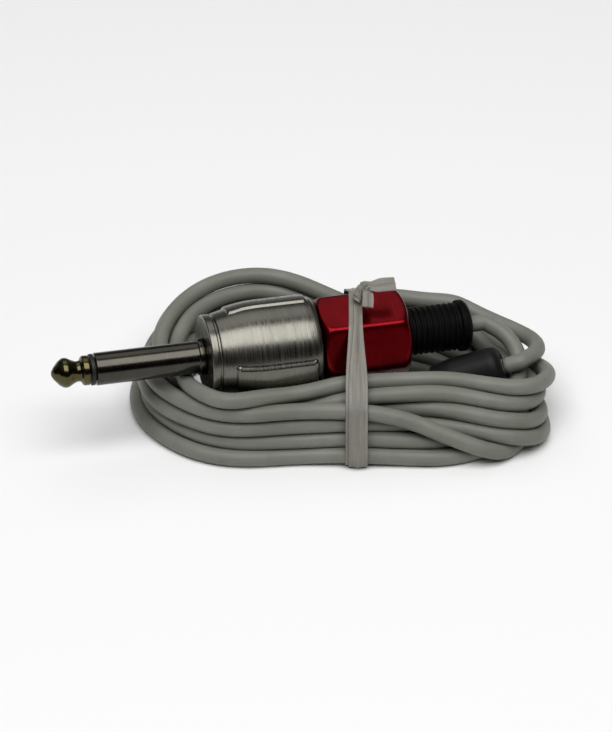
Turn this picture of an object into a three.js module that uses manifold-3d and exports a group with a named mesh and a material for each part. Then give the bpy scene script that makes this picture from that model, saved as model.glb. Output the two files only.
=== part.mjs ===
// An instrument cable, tied up in a hank: a 6.35 mm jack plug with a nut and a strain relief at one end,
// a 3.5 mm jack plug at the other. Millimetres, +Z up. The origin is under the tie, on the ground.
import * as THREE from 'three';
import { mergeVertices } from 'three/addons/utils/BufferGeometryUtils.js';
import Module from 'manifold-3d';

const wasm = await Module();
wasm.setup();

// ---- Driving dimensions -------------------------------------------------------------------------
const clearance = 0.3;            // between pieces that touch or run in one another
const roundSides = 32;            // facets of a turned piece
const smallSides = 14;            // facets of a small turned piece

const cord = { diameter: 3.2, jacketWall: 0.45, coreWall: 0.35, conductorRadius: 0.2, sides: 8 };

const hank = {
  loops: 7.5,                     // turns of the cord
  legs: [3, 2, 2],                // turns in each layer, before the last
  columnPitch: 4.04,              // between neighbours in a layer
  layerPitch: 3.81,               // between layers
  climb: 0.5,                     // turns that a climb takes
  stepsPerLoop: 24,
  sides: 6,
  flat: 0.1,                      // cut under the lowest layer, in cord diameters
  waistLift: 1.0,                 // the loops pass over the tie
  waistReach: 13,
};

const plugAxis = { yaw: 14.6, pitch: 1.9, waistStation: 30.4, atWaist: [0, -0.66, 16.25] };

const jack = {                    // 6.35 mm plug, stations from the front of the shell
  radius: 3.175,
  length: 30.2,
  bulbRadius: 2.92,
  neckRadius: 2.0,
  tipCollarRadius: 2.9,
  insulatorRadius: 3.05,
  insulatorWidth: 0.7,
  rodRadius: 1.1,
  insulatorTubeRadius: 2.05,
  tipLength: 7.3,
  collarRadius: 3.6,
  collarWidth: 1.1,
  flangeRadius: 6.3,
  flangeWidth: 1.6,
  bodyRadius: 4.2,
  bodyToClamp: 6.2,
};

const shell = {
  length: 21.7,
  rimRadius: 8.05,
  radius: 9.8,
  rearRadius: 9.1,
  boreRadius: 7.1,
  frontWall: 1.5,
  grooveAt: 1.5,
  grooveWidth: 0.5,
  grooveDepth: 0.35,
  padStart: 4.4,                  // three raised grip pads round it
  padEnd: 20.6,
  padHalfWidth: 3.25,
  padHeight: 0.4,
  padCorner: 0.8,
  padAngles: [-5.5, 114.5, 234.5],
};

const liner = { wall: 0.6, start: 5.3, toNose: 0.7 };

const lug = {
  thickness: 0.5,
  washerRadius: 2.6,
  tabWidth: 2.2,
  tabLength: 5.6,
  armWidth: 3.0,
  clampLength: 2.6,
  toNose: 0.5,
};

const chuck = {
  behindNose: 0.5,
  length: 10.6,
  radius: 4.3,
  tailRadius: 3.0,
  slotWidth: 0.8,
  slots: 4,
  slotLength: 7.0,
};

const nut = {
  length: 18.0,
  acrossCorners: 18.5,
  endRound: 3.2,
  noseLength: 4.7,
  noseWall: 1.7,
  rearWall: 3.4,
  threadPitch: 1.0,
  threadTurns: 4,
};

const boot = {
  radius: 4.75,
  rootRadius: 4.25,
  ribs: 10,
  ribPitch: 1.15,
  ribWidth: 0.65,
  flangeWidth: 1.8,
  flangeRadius: 5.7,
  length: 13.3,                   // that shows behind the nut
  endRingRadius: 5.1,
  endRingWidth: 2.2,
};

const mini = {                    // 3.5 mm plug, stations from the front of its grip
  radius: 1.75,
  length: 14.0,
  tipLength: 3.4,
  neckRadius: 1.1,
  insulatorWidth: 0.6,
  rodRadius: 0.45,
  tubeRadius: 0.85,
  boreRadius: 1.15,
  collarRadius: 2.9,
  collarWidth: 0.8,
  bodyEnd: 3.2,
};

const grip = { length: 14.0, radius: 4.6, frontRadius: 4.1, boreRadius: 3.4, tailWall: 3.4, round: 2.2 };
const gripPlace = { tail: [28.9, -4.6, 12.2], yaw: 0, climb: 19 };

const tie = { width: 3.7, thickness: 0.5, knotRadius: 1.5, knotHeight: 2.6, tailWidth: 3.2 };

const cordRadius = cord.diameter / 2;
const toRadians = Math.PI / 180;

// ---- Materials ----------------------------------------------------------------------------------
const paint = (color, roughness, metalness) => new THREE.MeshStandardMaterial({ color, roughness, metalness });
const satinNickel = paint(0x8f8b80, 0.35, 1.0);
const contactGold = paint(0x7a6a34, 0.25, 1.0);
const blackPlastic = paint(0x0b0b0b, 0.4, 0.0);
const redAnodised = paint(0x8c1320, 0.25, 0.6);
const blackRubber = paint(0x101010, 0.7, 0.0);
const greyJacket = paint(0xa5a79c, 0.45, 0.0);
const tieVinyl = paint(0xc9c4b8, 0.5, 0.0);
const tinned = paint(0xb8b8b4, 0.3, 1.0);
const copper = paint(0xb5713c, 0.35, 1.0);
const whiteInsulation = paint(0xd8d8d2, 0.5, 0.0);

// ---- Shared makers ------------------------------------------------------------------------------
// A piece turned about the X axis from [station, radius] points, given in order round its section.
function turned(outline, sides = roundSides) {
  const points = outline.map(([station, radius]) => new THREE.Vector2(Math.max(radius, 0), station));
  const closed = points[0].x > 0 || points[points.length - 1].x > 0;
  if (closed) points.push(points[0].clone());
  const geometry = new THREE.LatheGeometry(points, sides);
  geometry.rotateZ(-Math.PI / 2);
  return solidOf(geometry);
}

// The outline of a plain tube between two stations.
const tube = (start, end, outer, inner) => turned([[start, inner], [start, outer], [end, outer], [end, inner]]);
const smallTube = (start, end, outer, inner) => (
  turned([[start, inner], [start, outer], [end, outer], [end, inner]], smallSides)
);
const rod = (start, end, radius) => turned([[start, 0], [start, radius], [end, radius], [end, 0]], smallSides);

// A box from its lowest and highest corners.
function box(low, high) {
  const size = high.map((value, axis) => value - low[axis]);
  const geometry = new THREE.BoxGeometry(...size);
  geometry.translate(...low.map((value, axis) => value + size[axis] / 2));
  return solidOf(geometry);
}

// A manifold solid from a closed geometry, turned right side out.
function solidOf(geometry) {
  const bare = new THREE.BufferGeometry();
  bare.setAttribute('position', geometry.getAttribute('position').clone());
  if (geometry.index) bare.setIndex(geometry.index.clone());
  const merged = mergeVertices(bare, 1e-4);
  const index = Array.from(merged.index.array);
  const kept = [];
  for (let i = 0; i < index.length; i += 3) {
    const [a, b, c] = [index[i], index[i + 1], index[i + 2]];
    if (a !== b && b !== c && c !== a) kept.push(a, b, c);
  }
  const positions = merged.getAttribute('position').array;
  if (signedVolume(positions, kept) < 0) {
    for (let i = 0; i < kept.length; i += 3) [kept[i + 1], kept[i + 2]] = [kept[i + 2], kept[i + 1]];
  }
  const mesh = new wasm.Mesh({
    numProp: 3,
    vertProperties: new Float32Array(positions),
    triVerts: new Uint32Array(kept),
  });
  return new wasm.Manifold(mesh);
}

function signedVolume(positions, index) {
  const [a, b, c] = [new THREE.Vector3(), new THREE.Vector3(), new THREE.Vector3()];
  let volume = 0;
  for (let i = 0; i < index.length; i += 3) {
    a.fromArray(positions, 3 * index[i]);
    b.fromArray(positions, 3 * index[i + 1]);
    c.fromArray(positions, 3 * index[i + 2]);
    volume += a.dot(b.cross(c)) / 6;
  }
  return volume;
}

// A named mesh from a solid.
function piece(name, solid, material) {
  const { vertProperties, triVerts } = solid.getMesh();
  const geometry = new THREE.BufferGeometry();
  geometry.setAttribute('position', new THREE.BufferAttribute(new Float32Array(vertProperties), 3));
  geometry.setIndex(new THREE.BufferAttribute(new Uint32Array(triVerts), 1));
  geometry.computeVertexNormals();
  const mesh = new THREE.Mesh(geometry, material);
  mesh.name = name;
  return mesh;
}

// A round bar of the given radius along a smooth line through the points.
function bar(points, radius, sides, steps) {
  const vectors = points.map((point) => new THREE.Vector3(...point));
  const path = new THREE.CatmullRomCurve3(vectors, false, 'centripetal');
  const section = new THREE.Shape();
  for (let side = 0; side < sides; side += 1) {
    const angle = (2 * Math.PI * side) / sides;
    const corner = [radius * Math.cos(angle), radius * Math.sin(angle)];
    if (side === 0) section.moveTo(...corner);
    else section.lineTo(...corner);
  }
  section.closePath();
  return new THREE.ExtrudeGeometry(section, { steps, bevelEnabled: false, extrudePath: path });
}

// Cuts flat whatever would lie below the ground.
function cutAtGround(geometry) {
  const positions = geometry.getAttribute('position');
  for (let i = 0; i < positions.count; i += 1) positions.setZ(i, Math.max(0, positions.getZ(i)));
  return geometry;
}


// ---- 6.35 mm plug, along +X from its tip at -length to its cable ---------------------------------
const nutStart = shell.length + clearance;
const nutEnd = nutStart + nut.length;
const bootEnd = nutEnd + boot.length;
const nutBoreRadius = shell.boreRadius - clearance - nut.noseWall;
const noseStart = nutStart - nut.noseLength;
const clampStart = noseStart - lug.toNose - lug.clampLength;
const jacketFront = clampStart - clearance;
const contactEnd = clampStart - jack.bodyToClamp;
const leadStart = bootEnd + clearance;

function jackTip() {
  const front = -jack.length;
  const rear = front + jack.tipLength;
  return turned([
    [front, 0],
    [front + 0.5, 1.1],
    [front + 1.6, 2.4],
    [front + 2.7, jack.bulbRadius],
    [front + 3.6, 2.7],
    [front + 4.9, jack.neckRadius],
    [front + 5.6, jack.neckRadius],
    [front + 6.1, jack.tipCollarRadius],
    [rear, jack.tipCollarRadius],
    [rear, jack.rodRadius],
    [contactEnd + 3.5, jack.rodRadius],
    [contactEnd + 3.5, 0],
  ]);
}

const jackRingStart = -jack.length + jack.tipLength + clearance;
const jackSleeveStart = jackRingStart + jack.insulatorWidth + clearance;

function jackTipInsulator() {
  const bore = jack.rodRadius + clearance;
  const ringEnd = jackRingStart + jack.insulatorWidth;
  return turned([
    [jackRingStart, bore],
    [jackRingStart, jack.insulatorRadius],
    [ringEnd, jack.insulatorRadius],
    [ringEnd, jack.insulatorTubeRadius],
    [contactEnd, jack.insulatorTubeRadius],
    [contactEnd, bore],
  ]);
}

const jackFlangeStart = shell.frontWall + clearance;
const jackFlangeEnd = jackFlangeStart + jack.flangeWidth;

function jackSleeve() {
  const bore = jack.insulatorTubeRadius + clearance;
  return turned([
    [jackSleeveStart, bore],
    [jackSleeveStart, jack.radius - 0.15],
    [jackSleeveStart + 0.15, jack.radius],
    [-clearance - jack.collarWidth, jack.radius],
    [-clearance - jack.collarWidth, jack.collarRadius],
    [-clearance, jack.collarRadius],
    [-clearance, jack.radius],
    [jackFlangeStart, jack.radius],
    [jackFlangeStart, jack.flangeRadius],
    [jackFlangeEnd, jack.flangeRadius],
    [jackFlangeEnd, jack.bodyRadius],
    [contactEnd, jack.bodyRadius],
    [contactEnd, bore],
  ]);
}

const jackWasherStart = contactEnd + clearance;
const jackWasherWidth = 1.4;
const jackLugStart = jackWasherStart + jackWasherWidth + clearance;

function jackRearInsulator() {
  const outer = jack.bodyRadius - 0.2;
  return tube(jackWasherStart, jackWasherStart + jackWasherWidth, outer, jack.rodRadius + clearance);
}

const tabBottom = -2.4;
const tabTop = tabBottom + lug.thickness;

function jackTipLug() {
  const washer = tube(jackLugStart, jackLugStart + lug.thickness, lug.washerRadius, jack.rodRadius + clearance);
  const tabEnd = jackLugStart + lug.tabLength - 2;
  return washer.add(box([jackLugStart, -lug.tabWidth / 2, tabBottom], [tabEnd, lug.tabWidth / 2, tabTop]));
}

const armRadius = 5.2;
const groundWasherStart = jackFlangeEnd + clearance;

function jackGroundLug() {
  const bore = jack.bodyRadius + clearance;
  const washer = tube(groundWasherStart, groundWasherStart + lug.thickness, armRadius + lug.thickness, bore);
  const clampEnd = clampStart + lug.clampLength;
  const half = lug.armWidth / 2;
  const arm = box([groundWasherStart, -half, armRadius], [clampEnd, half, armRadius + lug.thickness]);
  const webStart = clampStart + 0.8;
  const web = box([webStart, -0.9, cordRadius + clearance + 0.1], [webStart + 1, 0.9, armRadius + 0.1]);
  const claspOuter = cordRadius + clearance + lug.thickness;
  const clasp = smallTube(clampStart, clampEnd, claspOuter, cordRadius + clearance);
  const mouth = box([clampStart - 1, -claspOuter, -claspOuter - 1], [clampEnd + 1, claspOuter, -0.6]);
  return washer.add(arm).add(web).add(clasp.subtract(mouth));
}

// The outside of the shell, raised by a height, from its groove back to its rear face.
function shellOutline(raise) {
  const points = [];
  const swell = 9;
  const start = shell.grooveAt + shell.grooveWidth;
  const plainRadius = shell.radius - shell.padHeight;
  for (let step = 0; step <= 8; step += 1) {
    const along = step / 8;
    const radius = shell.rimRadius + (plainRadius - shell.rimRadius) * Math.sin((along * Math.PI) / 2);
    points.push([start + swell * along, radius + raise]);
  }
  points.push([shell.length - 2.2, plainRadius + raise]);
  points.push([shell.length - 0.9, (2 * plainRadius + shell.rearRadius) / 3 + raise]);
  points.push([shell.length, shell.rearRadius + raise]);
  return points;
}

// A block from the axis out, with the outline of a pad.
function padBlock(angle) {
  const half = shell.padHalfWidth;
  const corner = shell.padCorner;
  const outline = new THREE.Shape();
  outline.moveTo(shell.padStart + corner, -half);
  outline.lineTo(shell.padEnd - corner, -half);
  outline.absarc(shell.padEnd - corner, -half + corner, corner, -Math.PI / 2, 0, false);
  outline.absarc(shell.padEnd - corner, half - corner, corner, 0, Math.PI / 2, false);
  outline.absarc(shell.padStart + corner, half - corner, corner, Math.PI / 2, Math.PI, false);
  outline.absarc(shell.padStart + corner, -half + corner, corner, Math.PI, 1.5 * Math.PI, false);
  const settings = { depth: shell.radius, bevelEnabled: false, curveSegments: 5 };
  const geometry = new THREE.ExtrudeGeometry(outline, settings);
  geometry.rotateX(Math.PI / 2 - angle * toRadians);
  return solidOf(geometry);
}

function shellBody() {
  const groove = shell.rimRadius - shell.grooveDepth;
  const bore = jack.radius + clearance;
  const outside = turned([
    [0, bore],
    [0, shell.rimRadius - 0.45],
    [0.45, shell.rimRadius],
    [shell.grooveAt, shell.rimRadius],
    [shell.grooveAt, groove],
    [shell.grooveAt + shell.grooveWidth, groove],
    ...shellOutline(0),
    [shell.length, shell.boreRadius],
    [shell.frontWall, shell.boreRadius],
    [shell.frontWall, bore],
  ]);
  const padBore = shell.boreRadius + clearance;
  const raised = turned([
    [shell.grooveAt + shell.grooveWidth, padBore],
    ...shellOutline(shell.padHeight),
    [shell.length, padBore],
  ]);
  let body = outside;
  for (const angle of shell.padAngles) body = body.add(padBlock(angle).intersect(raised));
  return body;
}

function shellLiner() {
  const outer = shell.boreRadius - clearance;
  return tube(liner.start, noseStart - liner.toNose, outer, outer - liner.wall);
}

function chuckBody() {
  const bore = cordRadius + clearance;
  const start = noseStart + chuck.behindNose;
  const end = start + chuck.length;
  const shoulder = end - chuck.slotLength;
  let body = turned([
    [start, bore],
    [start, chuck.radius],
    [shoulder, chuck.radius],
    [end, chuck.tailRadius],
    [end, bore],
  ], smallSides);
  const half = chuck.slotWidth / 2;
  for (let slot = 0; slot < chuck.slots / 2; slot += 1) {
    const cutter = box([shoulder + 1, -half, -chuck.radius - 1], [end + 1, half, chuck.radius + 1]);
    body = body.subtract(cutter.rotate([(slot * 360) / chuck.slots, 0, 0]));
  }
  return body;
}

function nutBody() {
  const cornerRadius = nut.acrossCorners / 2;
  const hexagon = new THREE.Shape();
  for (let corner = 0; corner < 6; corner += 1) {
    const angle = (48 + 60 * corner) * toRadians;
    const at = [-cornerRadius * Math.cos(angle), cornerRadius * Math.sin(angle)];
    if (corner === 0) hexagon.moveTo(...at);
    else hexagon.lineTo(...at);
  }
  hexagon.closePath();
  const prism = new THREE.ExtrudeGeometry(hexagon, { depth: nut.length, bevelEnabled: false });
  prism.rotateX(Math.PI / 2);
  prism.rotateZ(Math.PI / 2);
  prism.translate(nutStart, 0, 0);
  const rounded = [[nutStart, 0]];
  const roundEnd = (turn) => cornerRadius + 0.3 - nut.endRound * (1 - Math.sin(turn));
  for (let step = 0; step <= 4; step += 1) {
    const turn = (step * Math.PI) / 8;
    rounded.push([nutStart + nut.endRound * (1 - Math.cos(turn)), roundEnd(turn)]);
  }
  for (let step = 4; step >= 0; step -= 1) {
    const turn = (step * Math.PI) / 8;
    rounded.push([nutEnd - nut.endRound * (1 - Math.cos(turn)), roundEnd(turn)]);
  }
  rounded.push([nutEnd, 0]);
  const nose = turned([
    [noseStart, 0],
    [noseStart, nutBoreRadius + nut.noseWall],
    [nutStart + 1, nutBoreRadius + nut.noseWall],
    [nutStart + 1, 0],
  ]);
  const bore = rod(noseStart - 1, nutEnd - nut.rearWall, nutBoreRadius);
  const rearHole = rod(nutStart, nutEnd + 1, boot.rootRadius + clearance);
  return solidOf(prism).intersect(turned(rounded)).add(nose).subtract(bore).subtract(rearHole);
}

function bootBody() {
  const flangeEnd = nutEnd - nut.rearWall - clearance;
  const outline = [
    [flangeEnd - boot.flangeWidth, cordRadius + clearance],
    [flangeEnd - boot.flangeWidth, nutBoreRadius - clearance],
    [flangeEnd, nutBoreRadius - clearance],
    [flangeEnd, boot.rootRadius],
  ];
  const ribsStart = nutEnd + clearance + 0.2;
  for (let rib = 0; rib < boot.ribs - 1; rib += 1) {
    const start = ribsStart + rib * boot.ribPitch;
    outline.push([start, boot.rootRadius], [start + 0.1, boot.radius]);
    outline.push([start + boot.ribWidth, boot.radius], [start + boot.ribWidth + 0.1, boot.rootRadius]);
  }
  const ringStart = bootEnd - boot.endRingWidth;
  outline.push([ringStart, boot.rootRadius], [ringStart + 0.1, boot.endRingRadius]);
  outline.push([bootEnd - 0.9, boot.endRingRadius], [bootEnd - 0.25, boot.radius - 0.35]);
  outline.push([bootEnd, boot.radius - 1.1]);
  outline.push([bootEnd, cordRadius + clearance]);
  return turned(outline, 28);
}

// The cable's own parts inside a plug, stripped back in steps towards the contacts.
const jacketEnd = (start, end) => smallTube(start, end, cordRadius, cordRadius - cord.jacketWall);
const coreRadius = cordRadius - cord.jacketWall - clearance;
const coreInsulation = (start, end) => smallTube(start, end, coreRadius, coreRadius - cord.coreWall);
const conductor = (start, end) => turned([
  [start, 0], [start, cord.conductorRadius], [end, cord.conductorRadius], [end, 0]], 8);

// A drop of solder: a low dome on a flat, facing up or down.
function solder(station, height, radius, up) {
  const dome = turned([[0, 0], [0, radius], [0.35 * radius, 0.85 * radius], [0.7 * radius, 0.4 * radius],
    [0.8 * radius, 0]], 12);
  return dome.rotate([0, up ? -90 : 90, 0]).translate([station, 0, height]);
}

function jackPlug() {
  const plug = new THREE.Group();
  const coreFront = jacketFront - 1.2;
  const shieldTail = [
    [jacketFront - 0.6, 0, 1.4],
    [jacketFront - 1.0, 0, 2.4],
    [jacketFront - 1.6, 0, 3.4],
    [jacketFront - 2.0, 0, 4.4],
  ];
  plug.add(
    piece('a_tip', jackTip(), contactGold),
    piece('a_tip_insulator', jackTipInsulator(), blackPlastic),
    piece('a_sleeve', jackSleeve(), satinNickel),
    piece('a_rear_insulator', jackRearInsulator(), whiteInsulation),
    piece('a_tip_lug', jackTipLug(), tinned),
    piece('a_ground_lug', jackGroundLug(), tinned),
    piece('a_shell', shellBody(), satinNickel),
    piece('a_liner', shellLiner(), blackPlastic),
    piece('a_chuck', chuckBody(), blackPlastic),
    piece('a_nut', nutBody(), redAnodised),
    piece('a_boot', bootBody(), blackRubber),
    piece('a_jacket_end', jacketEnd(jacketFront, bootEnd), greyJacket),
    piece('a_core_insulation', coreInsulation(coreFront, bootEnd - 0.6), whiteInsulation),
    piece('a_conductor', conductor(coreFront - 0.9, bootEnd - 1.2), copper),
    piece('a_shield_tail', solidOf(bar(shieldTail, 0.3, 6, 4)), copper),
    piece('a_solder_tip', solder(coreFront - 0.4, tabTop + clearance, 0.9, true), tinned),
    piece('a_solder_ground', solder(jacketFront - 3.4, armRadius - clearance, 0.9, false), tinned),
  );
  plug.rotation.set(0, plugAxis.pitch * toRadians, plugAxis.yaw * toRadians, 'ZYX');
  const reach = new THREE.Vector3(plugAxis.waistStation, 0, 0).applyEuler(plug.rotation);
  plug.position.set(...plugAxis.atWaist).sub(reach);
  return plug;
}

// ---- 3.5 mm plug, along +X from its tip at -length to its cable ----------------------------------
const miniRingStart = -mini.length + mini.tipLength + clearance;
const miniSleeveStart = miniRingStart + mini.insulatorWidth + clearance;
const gripFrontWall = 1.2;

function miniTip() {
  const front = -mini.length;
  const rear = front + mini.tipLength;
  return turned([
    [front, 0],
    [front + 0.3, 0.7],
    [front + 1.2, 1.6],
    [front + 1.5, 1.6],
    [front + 2.1, mini.neckRadius],
    [front + 2.5, mini.neckRadius],
    [front + 2.8, 1.6],
    [rear, 1.6],
    [rear, mini.rodRadius],
    [mini.bodyEnd + 1.6, mini.rodRadius],
    [mini.bodyEnd + 1.6, 0],
  ], smallSides);
}

function miniTipInsulator() {
  const bore = mini.rodRadius + clearance;
  const ringEnd = miniRingStart + mini.insulatorWidth;
  return turned([
    [miniRingStart, bore],
    [miniRingStart, mini.radius - 0.05],
    [ringEnd, mini.radius - 0.05],
    [ringEnd, mini.tubeRadius],
    [mini.bodyEnd, mini.tubeRadius],
    [mini.bodyEnd, bore],
  ], smallSides);
}

function miniSleeve() {
  return turned([
    [miniSleeveStart, mini.boreRadius],
    [miniSleeveStart, mini.radius],
    [-clearance - mini.collarWidth, mini.radius],
    [-clearance - mini.collarWidth, mini.collarRadius],
    [-clearance, mini.collarRadius],
    [-clearance, mini.radius],
    [mini.bodyEnd, mini.radius],
    [mini.bodyEnd, mini.boreRadius],
  ], smallSides);
}

function gripBody() {
  const hole = mini.radius + clearance;
  const tailHole = cordRadius + clearance;
  const outline = [[0, hole], [0, grip.frontRadius - 0.5], [0.5, grip.frontRadius], [4, grip.radius]];
  for (let step = 0; step <= 5; step += 1) {
    const turn = (step * Math.PI) / 10;
    const along = grip.length - grip.round * (1 - Math.sin(turn));
    outline.push([along, grip.radius - grip.round * (1 - Math.cos(turn))]);
  }
  outline.push([grip.length, tailHole], [grip.length - grip.tailWall, tailHole]);
  outline.push([grip.length - grip.tailWall, grip.boreRadius], [gripFrontWall, grip.boreRadius]);
  outline.push([gripFrontWall, hole]);
  return turned(outline, 32);
}

function miniPlug() {
  const plug = new THREE.Group();
  const washer = mini.bodyEnd + clearance;
  const lugStart = washer + 0.6 + clearance;
  const rodBore = mini.rodRadius + clearance;
  const mouldStart = gripFrontWall + clearance;
  const mouldEnd = grip.length - grip.tailWall - 1.2;
  const mouldOuter = grip.boreRadius - clearance;
  const jacketStart = 7.4;
  const stripZ = 1.25;
  const lugWasher = smallTube(lugStart, lugStart + 0.3, 1.1, rodBore);
  const lugTab = box([lugStart, -0.5, -1.2], [lugStart + 1.9, 0.5, -0.9]);
  plug.add(
    piece('b_tip', miniTip(), contactGold),
    piece('b_tip_insulator', miniTipInsulator(), blackPlastic),
    piece('b_sleeve', miniSleeve(), satinNickel),
    piece('b_rear_insulator', smallTube(washer, washer + 0.6, 1.1, rodBore), whiteInsulation),
    piece('b_tip_lug', lugWasher.add(lugTab), tinned),
    piece('b_ground_lug', box([washer, -0.6, stripZ], [washer + 3, 0.6, stripZ + 0.3]), tinned),
    piece('b_inner_mould', tube(mouldStart, mouldEnd, mouldOuter, mini.radius + clearance), blackPlastic),
    piece('b_grip', gripBody(), blackPlastic),
    piece('b_jacket_end', jacketEnd(jacketStart, grip.length), greyJacket),
    piece('b_core_insulation', coreInsulation(jacketStart - 1, grip.length - 0.5), whiteInsulation),
    piece('b_conductor', conductor(jacketStart - 1.8, grip.length - 1), copper),
  );
  plug.rotation.set(0, -gripPlace.climb * toRadians, gripPlace.yaw * toRadians, 'ZYX');
  const reach = new THREE.Vector3(grip.length, 0, 0).applyEuler(plug.rotation);
  plug.position.set(...gripPlace.tail).sub(reach);
  return plug;
}

// ---- The hank -----------------------------------------------------------------------------------
// Its outermost turn seen from above, counterclockwise from the back, with the waist at x = 0.
const hankPlan = [
  [-19, 25.2], [-29.5, 22.6], [-38.5, 14], [-42.8, 2], [-42, -10], [-35.5, -18.6], [-25, -22.4],
  [-12, -22.4], [0, -21], [12, -21.8], [24, -21.8], [33, -17.5], [38.6, -9], [38.8, 1],
  [34, 10], [25, 15.6], [13, 18], [0, 19.8], [-9, 23.8],
];
const planPoints = hankPlan.map(([x, y]) => new THREE.Vector3(x, y, 0));
const planCurve = new THREE.CatmullRomCurve3(planPoints, true, 'centripetal');
planCurve.arcLengthDivisions = 400;

const turnsTo = hank.legs.map((_, leg) => hank.legs.slice(0, leg + 1).reduce((sum, turns) => sum + turns, 0));
const smoothStep = (value) => {
  const t = Math.min(1, Math.max(0, value));
  return t * t * (3 - 2 * t);
};

// How many columns in from the outermost turn the cord lies: it spirals out, in, out and in again.
function columnAt(turns) {
  if (turns < turnsTo[0]) return turnsTo[0] - turns;
  if (turns < turnsTo[1]) return turns - turnsTo[0];
  if (turns < turnsTo[2]) return turnsTo[2] - turns;
  return turns - turnsTo[2];
}

// Which layer it lies in: it climbs one in the half turn round each reversal, along the back run.
function layerAt(turns) {
  return turnsTo.reduce((level, reversal) => level + smoothStep((turns - reversal) / hank.climb + 0.5), 0);
}

function hankPoint(turns) {
  const share = turns % 1;
  const place = planCurve.getPointAt(share);
  const along = planCurve.getTangentAt(share);
  const inward = new THREE.Vector3(-along.y, along.x, 0);
  place.addScaledVector(inward, columnAt(turns) * hank.columnPitch);
  const lift = hank.waistLift * Math.exp(-((place.x / hank.waistReach) ** 2));
  place.z = cordRadius - hank.flat * cord.diameter + hank.layerPitch * layerAt(turns) + lift;
  return place;
}

// Its points, with both ends straight for one diameter.
function hankPoints() {
  const steps = Math.round(hank.loops * hank.stepsPerLoop);
  const line = [];
  for (let step = 0; step <= steps; step += 1) line.push(hankPoint(step / hank.stepsPerLoop));
  const wayIn = planCurve.getTangentAt(0);
  const wayOut = planCurve.getTangentAt(hank.loops % 1);
  line.splice(1, 0, line[0].clone().addScaledVector(wayIn, cord.diameter));
  line.splice(-1, 0, line[line.length - 1].clone().addScaledVector(wayOut, -cord.diameter));
  return line;
}

const hankLine = hankPoints();

// One unbroken tube along a line, its lowest flats level with the ground.
function woundTube(line, radius, sides) {
  const positions = [];
  const index = [];
  const up = new THREE.Vector3(0, 0, 1);
  line.forEach((place, i) => {
    const before = line[Math.max(0, i - 1)];
    const after = line[Math.min(line.length - 1, i + 1)];
    const along = after.clone().sub(before).normalize();
    const across = along.clone().cross(up).normalize();
    const over = across.clone().cross(along);
    for (let side = 0; side < sides; side += 1) {
      const angle = (2 * Math.PI * side) / sides;
      const corner = place.clone();
      corner.addScaledVector(across, radius * Math.cos(angle)).addScaledVector(over, radius * Math.sin(angle));
      positions.push(...corner.toArray());
    }
  });
  for (let ring = 0; ring < line.length - 1; ring += 1) {
    for (let side = 0; side < sides; side += 1) {
      const a = ring * sides + side;
      const b = ring * sides + ((side + 1) % sides);
      index.push(a, b, a + sides, b, b + sides, a + sides);
    }
  }
  const last = (line.length - 1) * sides;
  for (let side = 1; side < sides - 1; side += 1) {
    index.push(0, side + 1, side);
    index.push(last, last + side, last + side + 1);
  }
  const geometry = new THREE.BufferGeometry();
  geometry.setAttribute('position', new THREE.Float32BufferAttribute(positions, 3));
  geometry.setIndex(index);
  return geometry;
}

// The least gap between one turn and another, from points along the line a fifth of a diameter apart.
function leastGap(line, diameter) {
  const fine = [];
  for (let i = 0; i < line.length - 1; i += 1) {
    const cuts = Math.ceil(line[i].distanceTo(line[i + 1]) / (diameter / 5));
    for (let cut = 0; cut < cuts; cut += 1) {
      fine.push({ at: line[i].clone().lerp(line[i + 1], cut / cuts), station: i + cut / cuts });
    }
  }
  const apart = hank.stepsPerLoop / 3;
  let least = Infinity;
  for (let i = 0; i < fine.length; i += 1) {
    for (let j = i + 1; j < fine.length; j += 1) {
      if (fine[j].station - fine[i].station < apart) continue;
      if (Math.abs(fine[j].at.x - fine[i].at.x) > 2 * diameter) continue;
      least = Math.min(least, fine[i].at.distanceTo(fine[j].at));
    }
  }
  return least - diameter;
}

// ---- The free leads -----------------------------------------------------------------------------
const jackGroup = jackPlug();
const miniGroup = miniPlug();

function stationOf(group, station) {
  return new THREE.Vector3(station, 0, 0).applyEuler(group.rotation).add(group.position).toArray();
}

const hankStart = hankLine[0];
const hankEnd = hankLine[hankLine.length - 1];
const hankStartWay = hankLine[0].clone().sub(hankLine[1]).normalize();
const hankEndWay = hankEnd.clone().sub(hankLine[hankLine.length - 2]).normalize();
const offHank = (end, way, distance) => end.clone().addScaledVector(way, distance).toArray();
const straight = cord.diameter;

// From behind the strain relief: straight, as far as it slides, then round over the other lead and down
// on to the front of the hank.
const leadAPoints = [
  stationOf(jackGroup, leadStart),
  stationOf(jackGroup, leadStart + nut.threadPitch * nut.threadTurns),
  stationOf(jackGroup, leadStart + nut.threadPitch * nut.threadTurns + straight),
  [34.2, 6.2, 16.3],
  [37.4, 2.6, 16.8],
  [38.7, -2.5, 16.6],
  [38.2, -8.5, 15.9],
  [35.2, -14, 15.0],
  [30, -17.8, 14.0],
  [23.6, -19.6, 13.1],
  offHank(hankEnd, hankEndWay, clearance + straight),
  offHank(hankEnd, hankEndWay, clearance),
];

// From behind the grip: left over the right-hand turn, along the back run and down inside to its start.
const leadBPoints = [
  stationOf(miniGroup, grip.length + clearance),
  stationOf(miniGroup, grip.length + clearance + straight),
  [34.4, -1.4, 13.3],
  [35.1, 3.8, 12.7],
  [32.6, 8.6, 12.5],
  [27.6, 11.8, 12.5],
  [21, 13.4, 12.5],
  [13.5, 14.4, 12.6],
  [6.5, 15.0, 13.1],
  [0.5, 15.2, 13.4],
  [-3.4, 12.8, 11.8],
  [-6.6, 10.8, 8.6],
  [-9.8, 10.6, 4.8],
  [-12.4, 11.9, 2.2],
  offHank(hankStart, hankStartWay, clearance + straight),
  offHank(hankStart, hankStartWay, clearance),
];

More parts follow.
